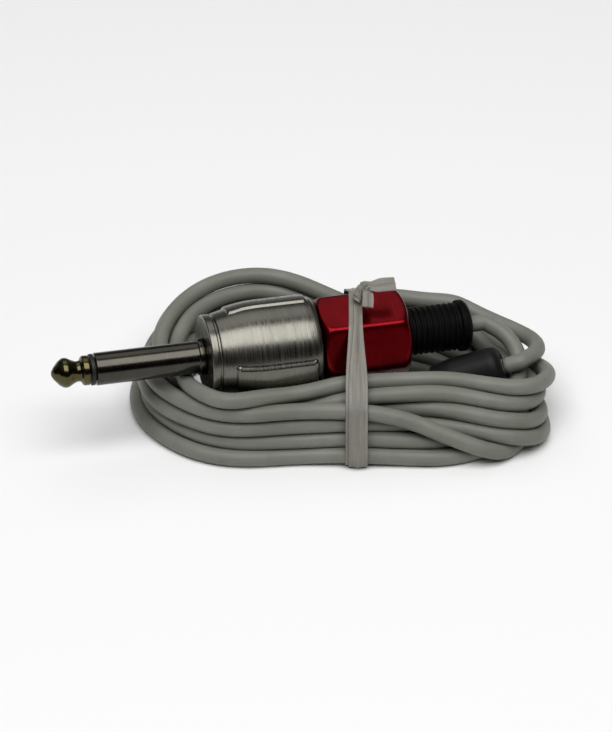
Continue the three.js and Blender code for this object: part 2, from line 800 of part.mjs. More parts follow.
// ---- The tie ------------------------------------------------------------------------------------
// Round the waist in the YZ plane at x = 0: under the hank, up its front, over the nut and down its back.
const tieLine = [
  [-17, 0], [-8, 0], [2, 0], [12, 0], [18.5, 0], [22.1, 1.8], [22.8, 6.5], [22.6, 12.0], [19.8, 16.6],
  [12.6, 21.6], [6.4, 24.9], [0, 26.2], [-5.8, 25.1], [-12, 20.8], [-18, 17.6], [-22.4, 13.8],
  [-22.9, 8], [-22.7, 3], [-21, 0.3],
];

function band() {
  const half = tie.thickness / 2;
  const points = tieLine.map(([y, z]) => new THREE.Vector3(y, z, 0));
  const line = new THREE.CatmullRomCurve3(points, true, 'centripetal');
  const outline = (side) => {
    const points = [];
    const steps = 56;
    const lowest = side > 0 ? -half : half;
    for (let step = 0; step < steps; step += 1) {
      const place = line.getPoint(step / steps);
      const along = line.getTangent(step / steps);
      const height = Math.max(lowest, place.y - side * along.x);
      points.push(new THREE.Vector2(place.x + side * along.y, height));
    }
    return points;
  };
  const ring = new THREE.Shape(outline(half));
  ring.holes.push(new THREE.Path(outline(-half)));
  const geometry = new THREE.ExtrudeGeometry(ring, { depth: tie.width, bevelEnabled: false });
  geometry.translate(0, half, -tie.width / 2);
  geometry.rotateX(Math.PI / 2);
  geometry.rotateZ(Math.PI / 2);
  return solidOf(geometry);
}

// A flat strip along a line, one side held level.
function strip(points, width) {
  const vectors = points.map((point) => new THREE.Vector3(...point));
  const path = new THREE.CatmullRomCurve3(vectors, false, 'centripetal');
  const half = [tie.thickness / 2, width / 2];
  const section = new THREE.Shape();
  section.moveTo(-half[0], -half[1]);
  section.lineTo(half[0], -half[1]);
  section.lineTo(half[0], half[1]);
  section.lineTo(-half[0], half[1]);
  section.closePath();
  return solidOf(new THREE.ExtrudeGeometry(section, { steps: 8, bevelEnabled: false, extrudePath: path }));
}

function twistTie() {
  const top = 26.2;
  const knot = turned([
    [top - 0.2, 0],
    [top - 0.2, tie.knotRadius],
    [top + 0.5 * tie.knotHeight, 0.8 * tie.knotRadius],
    [top + tie.knotHeight, 0.9 * tie.knotRadius],
    [top + tie.knotHeight, 0],
  ], 10).rotate([0, -90, 0]);
  const tail = strip([
    [0, 0, top + 1.4],
    [2.4, 0.6, top + 2.4],
    [5.0, 1.6, top + 2.9],
    [7.6, 2.8, top + 2.7],
  ], tie.tailWidth);
  const shortTail = strip([
    [0, 0, top + 1.2],
    [0.6, -1.6, top + 1.8],
    [1.2, -3.4, top + 1.4],
  ], 2.2);
  return band().add(knot).add(tail).add(shortTail);
}

// ---- The whole cable ----------------------------------------------------------------------------
const cable = new THREE.Group();
cable.name = 'instrument_cable';
cable.add(
  jackGroup,
  miniGroup,
  piece('cable_hank', solidOf(cutAtGround(woundTube(hankLine, cordRadius, hank.sides))), greyJacket),
  piece('cable_lead_a', solidOf(cutAtGround(bar(leadAPoints, cordRadius, cord.sides, 16))), greyJacket),
  piece('cable_lead_b', solidOf(cutAtGround(bar(leadBPoints, cordRadius, cord.sides, 20))), greyJacket),
  piece('twist_tie', twistTie(), tieVinyl),
);

console.log(`hank: least gap to itself ${leastGap(hankLine, cord.diameter).toFixed(2)} mm`);

export default cable;
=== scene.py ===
"""An instrument cable tied up in a hank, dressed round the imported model. Metres, +Z up, origin under the tie."""
import math

import bpy
import numpy as np
from mathutils import Euler, Matrix, Vector


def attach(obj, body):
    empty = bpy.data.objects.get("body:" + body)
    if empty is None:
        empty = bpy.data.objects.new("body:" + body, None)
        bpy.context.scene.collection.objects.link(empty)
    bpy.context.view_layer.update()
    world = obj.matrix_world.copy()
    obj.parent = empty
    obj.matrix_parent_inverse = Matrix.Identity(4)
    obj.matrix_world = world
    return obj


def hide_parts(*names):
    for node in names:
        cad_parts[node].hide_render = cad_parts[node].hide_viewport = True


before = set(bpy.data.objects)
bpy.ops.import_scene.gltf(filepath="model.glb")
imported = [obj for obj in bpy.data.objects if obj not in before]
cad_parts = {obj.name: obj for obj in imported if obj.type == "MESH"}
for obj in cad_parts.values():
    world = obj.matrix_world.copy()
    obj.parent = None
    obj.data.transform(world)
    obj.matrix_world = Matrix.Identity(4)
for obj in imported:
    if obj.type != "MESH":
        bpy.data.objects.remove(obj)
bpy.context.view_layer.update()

MM = 0.001
TAU = 2 * math.pi

# ---- Values, in millimetres, as in the part's source ---------------------------------------------
CORD = 3.2
CORD_RADIUS = CORD / 2
CLEARANCE = 0.3

PLUG_YAW, PLUG_PITCH, WAIST_STATION = 14.6, 1.9, 30.4
PLUG_AT_WAIST = (0, -0.66, 16.25)
LEAD_START = 53.6

JACK_RADIUS, JACK_LENGTH, TIP_LENGTH = 3.175, 30.2, 7.3
COLLAR_LENGTH, COLLAR_RADIUS = 1.4, 3.6
SHELL_LENGTH, RIM_RADIUS, SHELL_RADIUS, SHELL_REAR = 21.7, 8.05, 9.8, 9.1
NUT_START, NUT_END, NUT_ACROSS = 22.0, 40.0, 18.5
BOOT_END, BOOT_ROOT = 53.3, 4.25

GRIP_LENGTH, GRIP_RADIUS, GRIP_FRONT, GRIP_ROUND = 14.0, 4.6, 4.1, 2.2
GRIP_TAIL, GRIP_CLIMB = (28.9, -4.6, 12.2), 19

# ---- Shared makers -------------------------------------------------------------------------------
def catmull(points, per_span, closed=False):
    """Points along a centripetal Catmull-Rom line through the given ones."""
    points = np.asarray(points, float)
    if closed:
        points = np.vstack([points[-1], points, points[0], points[1]])
    else:
        points = np.vstack([2 * points[0] - points[1], points, 2 * points[-1] - points[-2]])
    line = []
    for a, b, c, d in zip(points[:-3], points[1:-2], points[2:-1], points[3:]):
        knots = np.cumsum([0] + [max(np.linalg.norm(q - p), 1e-9) ** 0.5 for p, q in ((a, b), (b, c), (c, d))])
        t = np.linspace(knots[1], knots[2], per_span, endpoint=False)[:, None]

        def between(p, q, low, high):
            return ((high - t) * p + (t - low) * q) / (high - low)

        ab, bc, cd = (between(a, b, knots[0], knots[1]), between(b, c, knots[1], knots[2]),
                      between(c, d, knots[2], knots[3]))
        line.append(between(between(ab, bc, knots[0], knots[2]), between(bc, cd, knots[1], knots[3]),
                            knots[1], knots[2]))
    line = np.vstack(line)
    return line if closed else np.vstack([line, points[-2]])


def lengths(line):
    """How far along the line each of its points is."""
    return np.concatenate([[0], np.cumsum(np.linalg.norm(np.diff(line, axis=0), axis=1))])


def respaced(line, count=None, spacing=None):
    """The same line with evenly spaced points."""
    along = lengths(line)
    count = count or max(3, int(round(along[-1] / spacing)) + 1)
    at = np.linspace(0, along[-1], count)
    return np.column_stack([np.interp(at, along, line[:, axis]) for axis in range(line.shape[1])])


def tangents(line, closed=False):
    if closed:
        steps = np.roll(line, -1, axis=0) - np.roll(line, 1, axis=0)
    else:
        steps = np.gradient(line, axis=0)
    return steps / np.linalg.norm(steps, axis=1)[:, None]


def smoothstep(low, high, value):
    t = np.clip((np.asarray(value, float) - low) / (high - low), 0, 1)
    return t * t * (3 - 2 * t)


def placed(yaw, pitch, reach, at):
    """The matrix of a plug lying along +X, with the station at reach put at the given point."""
    turn = Euler((0, math.radians(pitch), 0)).to_matrix()
    turn = Euler((0, 0, math.radians(yaw))).to_matrix() @ turn
    start = Vector(at) - turn @ Vector((reach, 0, 0))
    return Matrix.Translation(start) @ turn.to_4x4()


PLUG = placed(PLUG_YAW, PLUG_PITCH, WAIST_STATION, PLUG_AT_WAIST)
MINI = placed(0, -GRIP_CLIMB, GRIP_LENGTH, GRIP_TAIL)


def carried(matrix, points):
    """Points in millimetres carried by a matrix."""
    matrix = np.array(matrix)
    return np.asarray(points, float) @ matrix[:3, :3].T + matrix[:3, 3]


def make_piece(name, points, faces, material, body, smooth_angle=None, uv=None):
    """A mesh piece from points in millimetres, riding on a body."""
    mesh = bpy.data.meshes.new(name)
    mesh.from_pydata((np.asarray(points, float) * MM).tolist(), [], [tuple(face) for face in faces])
    if uv is not None:
        layer = mesh.uv_layers.new(name="UVMap")
        corners = np.array([loop.vertex_index for loop in mesh.loops])
        layer.data.foreach_set("uv", np.asarray(uv(mesh, corners), np.float32).ravel())
    mesh.validate()
    mesh.shade_smooth()
    if smooth_angle:
        mesh.set_sharp_from_angle(angle=math.radians(smooth_angle))
    piece = linked(name, mesh)
    mesh.materials.append(material)
    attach(piece, body)
    return piece


def grid_faces(rows, columns, closed=False):
    """Quads over rows of points, each row closed on itself; closed joins the last row to the first."""
    row, column = np.meshgrid(np.arange(rows if closed else rows - 1), np.arange(columns), indexing="ij")
    here, next_row = row * columns, (row + 1) % rows * columns
    beside = (column + 1) % columns
    quads = np.stack([here + column, here + beside, next_row + beside, next_row + column], axis=-1)
    return quads.reshape(-1, 4).tolist()


def end_caps(rows, columns):
    """One flat face over the first row of points and one over the last."""
    last = (rows - 1) * columns
    return [tuple(range(columns - 1, -1, -1)), tuple(range(last, last + columns))]


def linked(name, data):
    """A new object in the scene."""
    thing = bpy.data.objects.new(name, data)
    bpy.context.scene.collection.objects.link(thing)
    return thing


def lathe(outline, sides, radius_at=None, closed=False):
    """Points and faces of a piece turned about X from (station, radius) points, front to back."""
    outline = np.asarray(outline, float)
    angles = np.arange(sides) / sides * TAU
    station = np.repeat(outline[:, 0][:, None], sides, axis=1)
    radius = np.repeat(outline[:, 1][:, None], sides, axis=1)
    around = np.repeat(angles[None, :], len(outline), axis=0)
    if radius_at is not None:
        radius = radius_at(station, radius, around)
    points = np.stack([station, -radius * np.cos(around), radius * np.sin(around)], axis=-1).reshape(-1, 3)
    faces = grid_faces(len(outline), sides, closed)
    if closed:
        return points, faces
    ends = len(points)
    points = np.vstack([points, [outline[0][0], 0, 0], [outline[-1][0], 0, 0]])
    last = (len(outline) - 1) * sides
    for side in range(sides):
        after = (side + 1) % sides
        faces.append((ends, after, side))
        faces.append((ends + 1, last + side, last + after))
    return points, faces


def softened(outline, rounding, spacing, closed=False):
    """An outline with its corners rounded and its runs cut into short lengths."""
    outline = [np.asarray(point, float) for point in outline]
    count = len(outline)
    soft = []
    for i, corner in enumerate(outline):
        if not closed and i in (0, count - 1):
            soft.append(corner)
            continue
        before, after = outline[i - 1], outline[(i + 1) % count]
        back, on = before - corner, after - corner
        reach = min(rounding, 0.45 * np.linalg.norm(back), 0.45 * np.linalg.norm(on))
        start = corner + back / np.linalg.norm(back) * reach
        end = corner + on / np.linalg.norm(on) * reach
        for t in (0, 0.25, 0.5, 0.75, 1):
            soft.append((1 - t) ** 2 * start + 2 * t * (1 - t) * corner + t * t * end)
    if closed:
        soft.append(soft[0])
    dense = [soft[0]]
    for a, b in zip(soft[:-1], soft[1:]):
        cuts = max(1, int(math.ceil(np.linalg.norm(b - a) / spacing)))
        dense.extend(a + (b - a) * cut / cuts for cut in range(1, cuts + 1))
    return np.array(dense[:-1] if closed else dense)


def turned_piece(name, outline, material, body, matrix, rounding=0.12, spacing=0.6, sides=96,
                 radius_at=None, closed=False, angle=30):
    points, faces = lathe(softened(outline, rounding, spacing, closed), sides, radius_at, closed)
    return make_piece(name, carried(matrix, points), faces, material, body, angle)


def tube_mesh(line, radius_at, sides, around=None):
    """Rings round a line with closed ends: the frame is carried along it without twist."""
    line = np.asarray(line, float)
    way = tangents(line)
    across = np.zeros_like(line)
    start = np.cross(way[0], (0, 0, 1.0))
    across[0] = start / np.linalg.norm(start)
    for i in range(1, len(line)):
        side = across[i - 1] - way[i] * np.dot(across[i - 1], way[i])
        across[i] = side / np.linalg.norm(side)
    over = np.cross(across, way)
    angles = np.arange(sides) / sides * TAU if around is None else around
    radius = radius_at(np.arange(len(line))) if callable(radius_at) else np.full(len(line), radius_at)
    ring = np.cos(angles)[None, :, None] * across[:, None, :] + np.sin(angles)[None, :, None] * over[:, None, :]
    points = (line[:, None, :] + ring * radius[:, None, None]).reshape(-1, 3)
    return points, grid_faces(len(line), sides) + end_caps(len(line), sides)


# ---- Camera --------------------------------------------------------------------------------------
def set_camera():
    """Looks along +Y from 35 degrees up, through a long lens."""
    target = Vector((-9.7, 4.28, 6.1)) * MM
    raised = math.radians(35)
    away = Vector((0, -math.cos(raised), math.sin(raised)))
    distance, view_height, sensor = 0.7, 0.1452, 36
    data = bpy.data.cameras.new("camera")
    data.sensor_width = sensor
    data.lens = sensor * distance / view_height
    data.clip_start = 0.01
    camera = linked("camera", data)
    camera.location = target + away * distance
    camera.rotation_euler = (-away).to_track_quat("-Z", "Y").to_euler()
    bpy.context.scene.camera = camera


set_camera()

# ---- The cord's route ----------------------------------------------------------------------------
# Which plan point each section of the hank is at, and where each turn lies there: how far in from the
# outermost turn, and how high.
SECTIONS = {
    0: [(9.9, 1.6), (3.4, 1.6), (1.8, 4.5), (0.6, 7.4), (0.2, 1.6), (4.0, 7.4), (5.0, 4.5), (0.2, 11.7),
        (-0.9, 14.2)],
    3: [(3.3, 1.6), (0.0, 1.6), (1.6, 4.5), (1.2, 7.5), (4.9, 4.5), (2.0, 10.3), (4.5, 7.4), (6.8, 11.2), (3.7, 13)],
    6: [(3.1, 1.7), (-0.2, 1.6), (0.4, 4.7), (0.8, 7.7), (4.0, 6.2), (1.0, 10.8), (4.0, 9.4), (1.8, 13.8), (7.0, 7)],
    7: [(3.9, 1.7), (0.5, 2.0), (1.2, 5.2), (1.8, 8.4), (5.1, 6.6), (2.3, 11.6), (5.3, 9.8), (5.2, 13.1), (8.3, 7.6)],
    8: [(4.0, 1.7), (0.4, 1.9), (1.0, 5.1), (1.7, 8.3), (5.4, 9.6), (1.8, 11.6), (4.7, 13), (7.7, 14.2), (8.4, 10.7)],
    9: [(4.0, 1.7), (0.5, 1.8), (1.2, 4.9), (4.4, 6.9), (6.4, 9.6), (2.1, 9.0), (6.4, 12.7), (9.4, 14), (9.6, 10.4)],
    10: [(6.0, 1.6), (1.3, 1.6), (4.3, 3.6), (2.6, 6.4), (3.2, 9.7), (-0.1, 4.6), (6.0, 11.4), (8.2, 13.3), (7, 8.4)],
    12: [(11.6, 1.6), (8.3, 1.6), (6.6, 4.6), (0.4, 1.6), (0, 5.2), (2.9, 1.6), (-0.9, 9.4), (-1.2, 13.0), (5, 8)],
    14: [(10.4, 1.6), (7.1, 1.6), (5.5, 4.4), (0.5, 1.6), (2.0, 4.4), (3.8, 1.6), (3.9, 7.2), (0.6, 7.2), (3, 10)],
    17: [(6.8, 1.6), (3.5, 4.5), (0.3, 4.6), (0.3, 1.6), (3.4, 7.5), (3.6, 1.6), (0.2, 7.8), (1.2, 10.8), (2, 13)],
}
# The plan of the settled turns: the source's plan, drawn in at its front and right-hand corners.
SETTLED_PLAN = [
    (-19, 25.2), (-29.5, 22.6), (-38.5, 14), (-42.8, 2), (-41.4, -6.4), (-34.6, -14.6), (-25, -19.4),
    (-12, -19.9), (0, -19.6), (12, -20), (24, -19.5), (33, -17), (37.2, -10), (35.8, -1), (33, 7),
    (25, 14.5), (13, 18), (0, 19.8), (-9, 23.8),
]
LEAN, LEAN_TOP = 0.37, 11.6      # how far the right-hand end leans back for each millimetre of height
TURNS, GUIDES_PER_TURN, PLAN_STEPS = 8.45, 40, 24
LEAD_A_SETTLED = [
    (28.7, 6.5, 14.8), (31.2, 3.8, 13.3), (32.0, -0.2, 11.0), (31.9, -4.4, 9.1), (31.2, -8.4, 8.4),
    (28.0, -11.6, 8.5), (23, -12.5, 9.0), (17, -11.2, 9.9),
]
LEAD_B_SETTLED = [
    (34.6, -4.2, 13.7), (37.2, -1.9, 12.8), (37.2, 2.0, 11.3), (34.6, 6.8, 10.9), (30.4, 10.8, 11.6),
    (25, 14.2, 12.5), (19, 16.4, 12.9), (13, 17.4, 13.1), (6.5, 18, 13.2), (0.3, 18.2, 13.2), (-4.4, 16.0, 12.4),
    (-7.6, 12.2, 9.6), (-10.2, 10.8, 5.6), (-12.8, 11.8, 2.6), (-15.8, 13.4, 1.7),
]
SPACING = 1.6
LOOSE = 3.24              # how close two turns may lie, centre to centre
LEAST_BEND = 7.5          # the tightest radius that the settling aims for
SETTLE_STEPS = 320
SMOOTHING, STIFFNESS, MEMORY, SAG = 0.2, 0.05, 0.03, 0.02
TIE_THICKNESS, TIE_REACH = 0.5, 7
TOUCHING = 0.05


def settled_plan():
    """The plan line of the outermost turn, and how far along it each point is."""
    fine = catmull(SETTLED_PLAN, PLAN_STEPS, closed=True)
    fine = np.vstack([fine, fine[0]])
    return fine, lengths(fine)


def turn_point(plan, along, share, inward, height):
    """A guiding point at a share of the plan line, that far in from it and that high."""
    at = share % 1 * along[-1]
    place = np.array([np.interp(at, along, plan[:, axis]) for axis in (0, 1)])
    ahead = np.array([np.interp((at + 0.5) % along[-1], along, plan[:, axis]) for axis in (0, 1)])
    way = (ahead - place) / np.linalg.norm(ahead - place)
    place = place + np.array([-way[1], way[0]]) * inward
    lean = LEAN * (LEAN_TOP - height) * float(smoothstep(26, 34, place[0]))
    return [place[0], place[1] - lean, height]


def hank_guides():
    """The hank's guiding points from its inner end to its outer end."""
    plan, along = settled_plan()
    shares = {index: along[index * PLAN_STEPS] / along[-1] for index in SECTIONS}
    knots = []
    for turn in range(int(TURNS) + 1):
        for index, slots in SECTIONS.items():
            knots.append((turn + shares[index], *slots[turn]))
    knots = np.array([knot for knot in knots if knot[0] <= TURNS + 0.3])
    guides = []
    for at in np.arange(0, TURNS, 1 / GUIDES_PER_TURN):
        i = min(np.searchsorted(knots[:, 0], at, side="right"), len(knots) - 1)
        (low, inward_a, height_a), (high, inward_b, height_b) = knots[i - 1], knots[i]
        t = float(smoothstep(low, high, at))
        t = 0.5 * t + 0.5 * (at - low) / (high - low)
        guides.append(turn_point(plan, along, at, inward_a + (inward_b - inward_a) * t,
                                 height_a + (height_b - height_a) * t))
    return guides


def plug_line(matrix, stations):
    return carried(matrix, [(station, 0, 0) for station in stations])


# What the cord lies against, as (matrix, first station, last station, radius).
BLOCKS = [
    (PLUG, -JACK_LENGTH, -COLLAR_LENGTH, 3.18), (PLUG, -COLLAR_LENGTH, 0, COLLAR_RADIUS), (PLUG, 0, 5, 9.0),
    (PLUG, 5, SHELL_LENGTH, SHELL_RADIUS), (PLUG, NUT_START, NUT_END, 9.3), (PLUG, NUT_END - 1, 57.3, 5.1),
    (MINI, -GRIP_LENGTH, 0, 1.75), (MINI, 0, 13.2, GRIP_RADIUS),
]


def pushed_clear(line, radius):
    """Moves points out of the plugs."""
    for matrix, first, last, block in BLOCKS:
        turn = np.array(matrix)[:3, :3]
        start = np.array(matrix)[:3, 3]
        local = (line - start) @ turn
        off = np.hypot(local[:, 1], local[:, 2])
        depth = block + radius - off
        inside = (local[:, 0] > first) & (local[:, 0] < last) & (depth > 0)
        away = local * (0, 1, 1) / np.maximum(off, 1e-6)[:, None]
        line = line + np.where(inside, depth, 0)[:, None] * (away @ turn.T)
    return line


def pushed_apart(line, least, near):
    """Moves turns that lie too close half way each apart."""
    squares = (line ** 2).sum(axis=1)
    gaps = squares[:, None] + squares[None, :] - 2 * line @ line.T
    i, j = np.nonzero(gaps < least * least)
    keep = j - i > near
    i, j = i[keep], j[keep]
    if not len(i):
        return line
    step = line[i] - line[j]
    distance = np.maximum(np.linalg.norm(step, axis=1), 1e-6)
    move = step * ((least - distance) / distance * 0.5)[:, None]
    total = np.zeros_like(line)
    weight = np.zeros(len(line))
    for ends, way in ((i, move), (j, -move)):
        np.add.at(total, ends, way)
        np.add.at(weight, ends, 1)
    return line + 1.5 * total / np.maximum(weight, 1)[:, None]


def bends_eased(line, least_radius, reach=2):
    """Opens the bends that are tighter than the cord takes."""
    before, here, after = line[:-2 * reach], line[reach:-reach], line[2 * reach:]
    step = np.linalg.norm(after - before, axis=1) / 2
    off = (before + after) / 2 - here
    depth = np.maximum(np.linalg.norm(off, axis=1), 1e-6)
    excess = np.clip(1 - step ** 2 / (2 * least_radius) / depth, 0, 1)[:, None]
    eased = line.copy()
    eased[reach:-reach] += 0.3 * excess * off
    eased[:-2 * reach] -= 0.15 * excess * off
    eased[2 * reach:] -= 0.15 * excess * off
    return eased


def settle(line, fixed_start, fixed_end):
    """Lets the turns find room, rest on the ground and keep their bends even."""
    aim = line.copy()
    near = int(2.2 * CORD / SPACING)
    for step in range(SETTLE_STEPS):
        ease = max(0, 1 - step / (0.8 * SETTLE_STEPS))
        line[1:-1] += SMOOTHING * ease * ((line[2:] + line[:-2]) / 2 - line[1:-1])
        fourth = line[4:] - 4 * line[3:-1] + 6 * line[2:-2] - 4 * line[1:-3] + line[:-4]
        line[2:-2] -= STIFFNESS * fourth
        line += MEMORY * ease * (aim - line)
        line[:, 2] -= SAG * ease
        line = bends_eased(line, LEAST_BEND)
        line = bends_eased(line, LEAST_BEND, 4)
        line = pushed_apart(line, LOOSE, near)
        line = pushed_clear(line, CORD_RADIUS + TOUCHING)
        floor = CORD_RADIUS + (TIE_THICKNESS + TOUCHING) * np.exp(-(line[:, 0] / TIE_REACH) ** 2)
        line[:, 2] = np.maximum(line[:, 2], floor)
        line[:fixed_start] = aim[:fixed_start]
        line[-fixed_end:] = aim[-fixed_end:]
    return line


def cord_route():
    """From behind the strain relief round the hank to behind the grip, in millimetres."""
    out_of_boot = plug_line(PLUG, [LEAD_START, 55.6, 57.2])
    into_grip = plug_line(MINI, [16.4, 15.2, GRIP_LENGTH + CLEARANCE])
    guides = [*out_of_boot, *LEAD_A_SETTLED, *reversed(hank_guides()[1:]), *reversed(LEAD_B_SETTLED), *into_grip]
    rough = respaced(catmull(guides, 8), spacing=SPACING)
    fixed = int(5.5 / SPACING)
    return settle(rough, fixed, 3)


ROUTE = cord_route()
ROUTE_FINE = respaced(catmull(ROUTE, 4), spacing=0.8)

# ---- Shared surface effects ----------------------------------------------------------------------
def add_sockets(tree, inputs, outputs):
    """Gives a node tree its inputs, (name, kind, default), and its outputs, (name, kind)."""
    for label, kind, default in inputs:
        socket = tree.interface.new_socket(label, in_out="INPUT", socket_type=kind)
        if default is not None:
            socket.default_value = default
    for label, kind in outputs:
        tree.interface.new_socket(label, in_out="OUTPUT", socket_type=kind)


def new_group(name, inputs, outputs):
    """An empty shader node group with its entry and its end."""
    group = bpy.data.node_groups.new(name, "ShaderNodeTree")
    add_sockets(group, inputs, outputs)
    return group, group.nodes.new("NodeGroupInput"), group.nodes.new("NodeGroupOutput")


class Wiring:
    """Makes and joins the nodes of one tree."""

    def __init__(self, tree):
        self.tree = tree

    def node(self, kind, inputs=None, **settings):
        node = self.tree.nodes.new(kind)
        for name, value in settings.items():
            setattr(node, name, value)
        for name, value in (inputs or {}).items():
            self.feed(node.inputs[name], value)
        return node

    def feed(self, socket, value):
        if isinstance(value, bpy.types.NodeSocket):
            self.tree.links.new(value, socket)
        else:
            socket.default_value = value

    def maths(self, operation, a, b=0.5, clamp=False):
        node = self.node("ShaderNodeMath", operation=operation, use_clamp=clamp)
        self.feed(node.inputs[0], a)
        self.feed(node.inputs[1], b)
        return node.outputs[0]

    def times(self, a, b, clamp=False):
        return self.maths("MULTIPLY", a, b, clamp)

    def plus(self, a, b):
        return self.maths("ADD", a, b)

    def ranged(self, value, low, high, to_low=0.0, to_high=1.0):
        return self.node("ShaderNodeMapRange", {"Value": value, "From Min": low, "From Max": high,
                                                "To Min": to_low, "To Max": to_high}).outputs["Result"]

    def noise(self, vector, scale, detail=3.0, roughness=0.55):
        return self.node("ShaderNodeTexNoise", {"Vector": vector, "Scale": scale, "Detail": detail,
                                                "Roughness": roughness}).outputs["Fac"]

    def mixed(self, share, a, b):
        node = self.node("ShaderNodeMix", data_type="RGBA")
        self.feed(node.inputs[0], share)
        self.feed(node.inputs[6], a)
        self.feed(node.inputs[7], b)
        return node.outputs[2]


def grain_group():
    """Colour drift and fine grain: a mask of broad patches, a mask of fine specks, and a height."""
    group, entry, end = new_group(
        "surface_grain",
        [("Vector", "NodeSocketVector", None), ("Patch Scale", "NodeSocketFloat", 120.0),
         ("Grain Scale", "NodeSocketFloat", 2500.0), ("Grain Share", "NodeSocketFloat", 0.4)],
        [("Patches", "NodeSocketFloat"), ("Specks", "NodeSocketFloat"), ("Height", "NodeSocketFloat")])
    wire = Wiring(group)
    patches = wire.noise(entry.outputs["Vector"], entry.outputs["Patch Scale"], 4.0)
    specks = wire.noise(entry.outputs["Vector"], entry.outputs["Grain Scale"], 2.0)
    blend = wire.times(specks, entry.outputs["Grain Share"])
    wire.feed(end.inputs["Patches"], wire.ranged(patches, 0.3, 0.7))
    wire.feed(end.inputs["Specks"], wire.ranged(specks, 0.35, 0.7))
    wire.feed(end.inputs["Height"], wire.plus(blend, patches))
    return group


def wear_and_shade_group():
    """Where edges are rubbed, and where hollows lie, which the materials darken as painted shade."""
    group, entry, end = new_group(
        "edge_wear_and_hollow_shade",
        [("Vector", "NodeSocketVector", None), ("Amount", "NodeSocketFloat", 0.5),
         ("Breakup", "NodeSocketFloat", 700.0)],
        [("Edges", "NodeSocketFloat"), ("Hollows", "NodeSocketFloat")])
    wire = Wiring(group)
    point = wire.node("ShaderNodeNewGeometry").outputs["Pointiness"]
    broken = wire.ranged(wire.noise(entry.outputs["Vector"], entry.outputs["Breakup"], 5.0), 0.3, 0.7)
    edges = wire.times(wire.ranged(point, 0.51, 0.6), broken)
    hollows = wire.times(wire.ranged(point, 0.49, 0.4), broken)
    wire.feed(end.inputs["Edges"], wire.times(edges, entry.outputs["Amount"], clamp=True))
    wire.feed(end.inputs["Hollows"], wire.times(hollows, entry.outputs["Amount"], clamp=True))
    return group


def turning_group():
    """Fine rings left by the lathe: they run round the X axis of the vector."""
    group, entry, end = new_group(
        "turning_rings",
        [("Vector", "NodeSocketVector", None), ("Rings", "NodeSocketFloat", 4000.0),
         ("Drift", "NodeSocketFloat", 600.0)],
        [("Rings", "NodeSocketFloat"), ("Bands", "NodeSocketFloat")])
    wire = Wiring(group)
    squeeze = wire.node("ShaderNodeVectorMath", operation="MULTIPLY")
    wire.feed(squeeze.inputs[0], entry.outputs["Vector"])
    squeeze.inputs[1].default_value = (1.0, 0.03, 0.03)
    wire.feed(end.inputs["Rings"], wire.noise(squeeze.outputs[0], entry.outputs["Rings"], 2.0))
    wire.feed(end.inputs["Bands"], wire.noise(squeeze.outputs[0], entry.outputs["Drift"], 3.0))
    return group


GRAIN, WEAR_AND_SHADE, TURNING = grain_group(), wear_and_shade_group(), turning_group()


def material_with(name, **flat):
    """A new material with a Principled shader: flat values go straight on its sockets."""
    material = bpy.data.materials.new(name)
    material.use_nodes = True
    wire = Wiring(material.node_tree)
    shader = material.node_tree.nodes["Principled BSDF"]
    for label, value in flat.items():
        shader.inputs[label.replace("_", " ")].default_value = value
    return material, wire, shader


def placed_vector(wire, matrix=None):
    """Object coordinates, turned into a plug's own axes if its matrix is given."""
    vector = wire.node("ShaderNodeTexCoord").outputs["Object"]
    if matrix is None:
        return vector
    back = matrix.copy()
    back.translation *= MM
    back = back.inverted()
    mapping = wire.node("ShaderNodeMapping", {"Vector": vector})
    mapping.inputs["Location"].default_value = back.to_translation()
    mapping.inputs["Rotation"].default_value = back.to_euler()
    return mapping.outputs["Vector"]


def shade(colour, times):
    """A colour made lighter or darker, and still opaque."""
    return tuple(min(1, c * times) for c in colour[:3]) + (1,)


def surfaced(wire, shader, tone, roughness, height, strength, distance):
    """Joins a colour, a roughness and a relief to the shader."""
    wire.feed(shader.inputs["Base Color"], tone)
    wire.feed(shader.inputs["Roughness"], roughness)
    bump = wire.node("ShaderNodeBump", {"Height": height, "Strength": strength, "Distance": distance})
    wire.feed(shader.inputs["Normal"], bump.outputs["Normal"])


def group_node(wire, group, **inputs):
    node = wire.node("ShaderNodeGroup", node_tree=group)
    for label, value in inputs.items():
        wire.feed(node.inputs[label.replace("_", " ")], value)
    return node


# ---- Materials -----------------------------------------------------------------------------------
def metal(name, matrix, bright, dark, smooth, rough, rings=4500.0, ring_height=0.12):
    """Turned and plated metal."""
    material, wire, shader = material_with(name, Metallic=1.0)
    vector = placed_vector(wire, matrix)
    turning = group_node(wire, TURNING, Vector=vector, Rings=rings, Drift=700.0)
    grain = group_node(wire, GRAIN, Vector=vector, Patch_Scale=260.0, Grain_Scale=4000.0)
    wear_and_shade = group_node(wire, WEAR_AND_SHADE, Vector=vector, Amount=0.6)
    tone = wire.mixed(wire.times(grain.outputs["Patches"], turning.outputs["Bands"]), bright, dark)
    tone = wire.mixed(wear_and_shade.outputs["Edges"], tone, shade(bright, 1.25))
    # Painted shade: the hollows get a darker copy of the metal's own colour.
    tone = wire.mixed(wear_and_shade.outputs["Hollows"], tone, shade(dark, 0.45))
    roughness = wire.ranged(turning.outputs["Rings"], 0.3, 0.7, smooth, rough)
    height = wire.plus(turning.outputs["Rings"], wire.times(grain.outputs["Specks"], 0.15))
    surfaced(wire, shader, tone, roughness, height, ring_height, 0.00006)
    return material


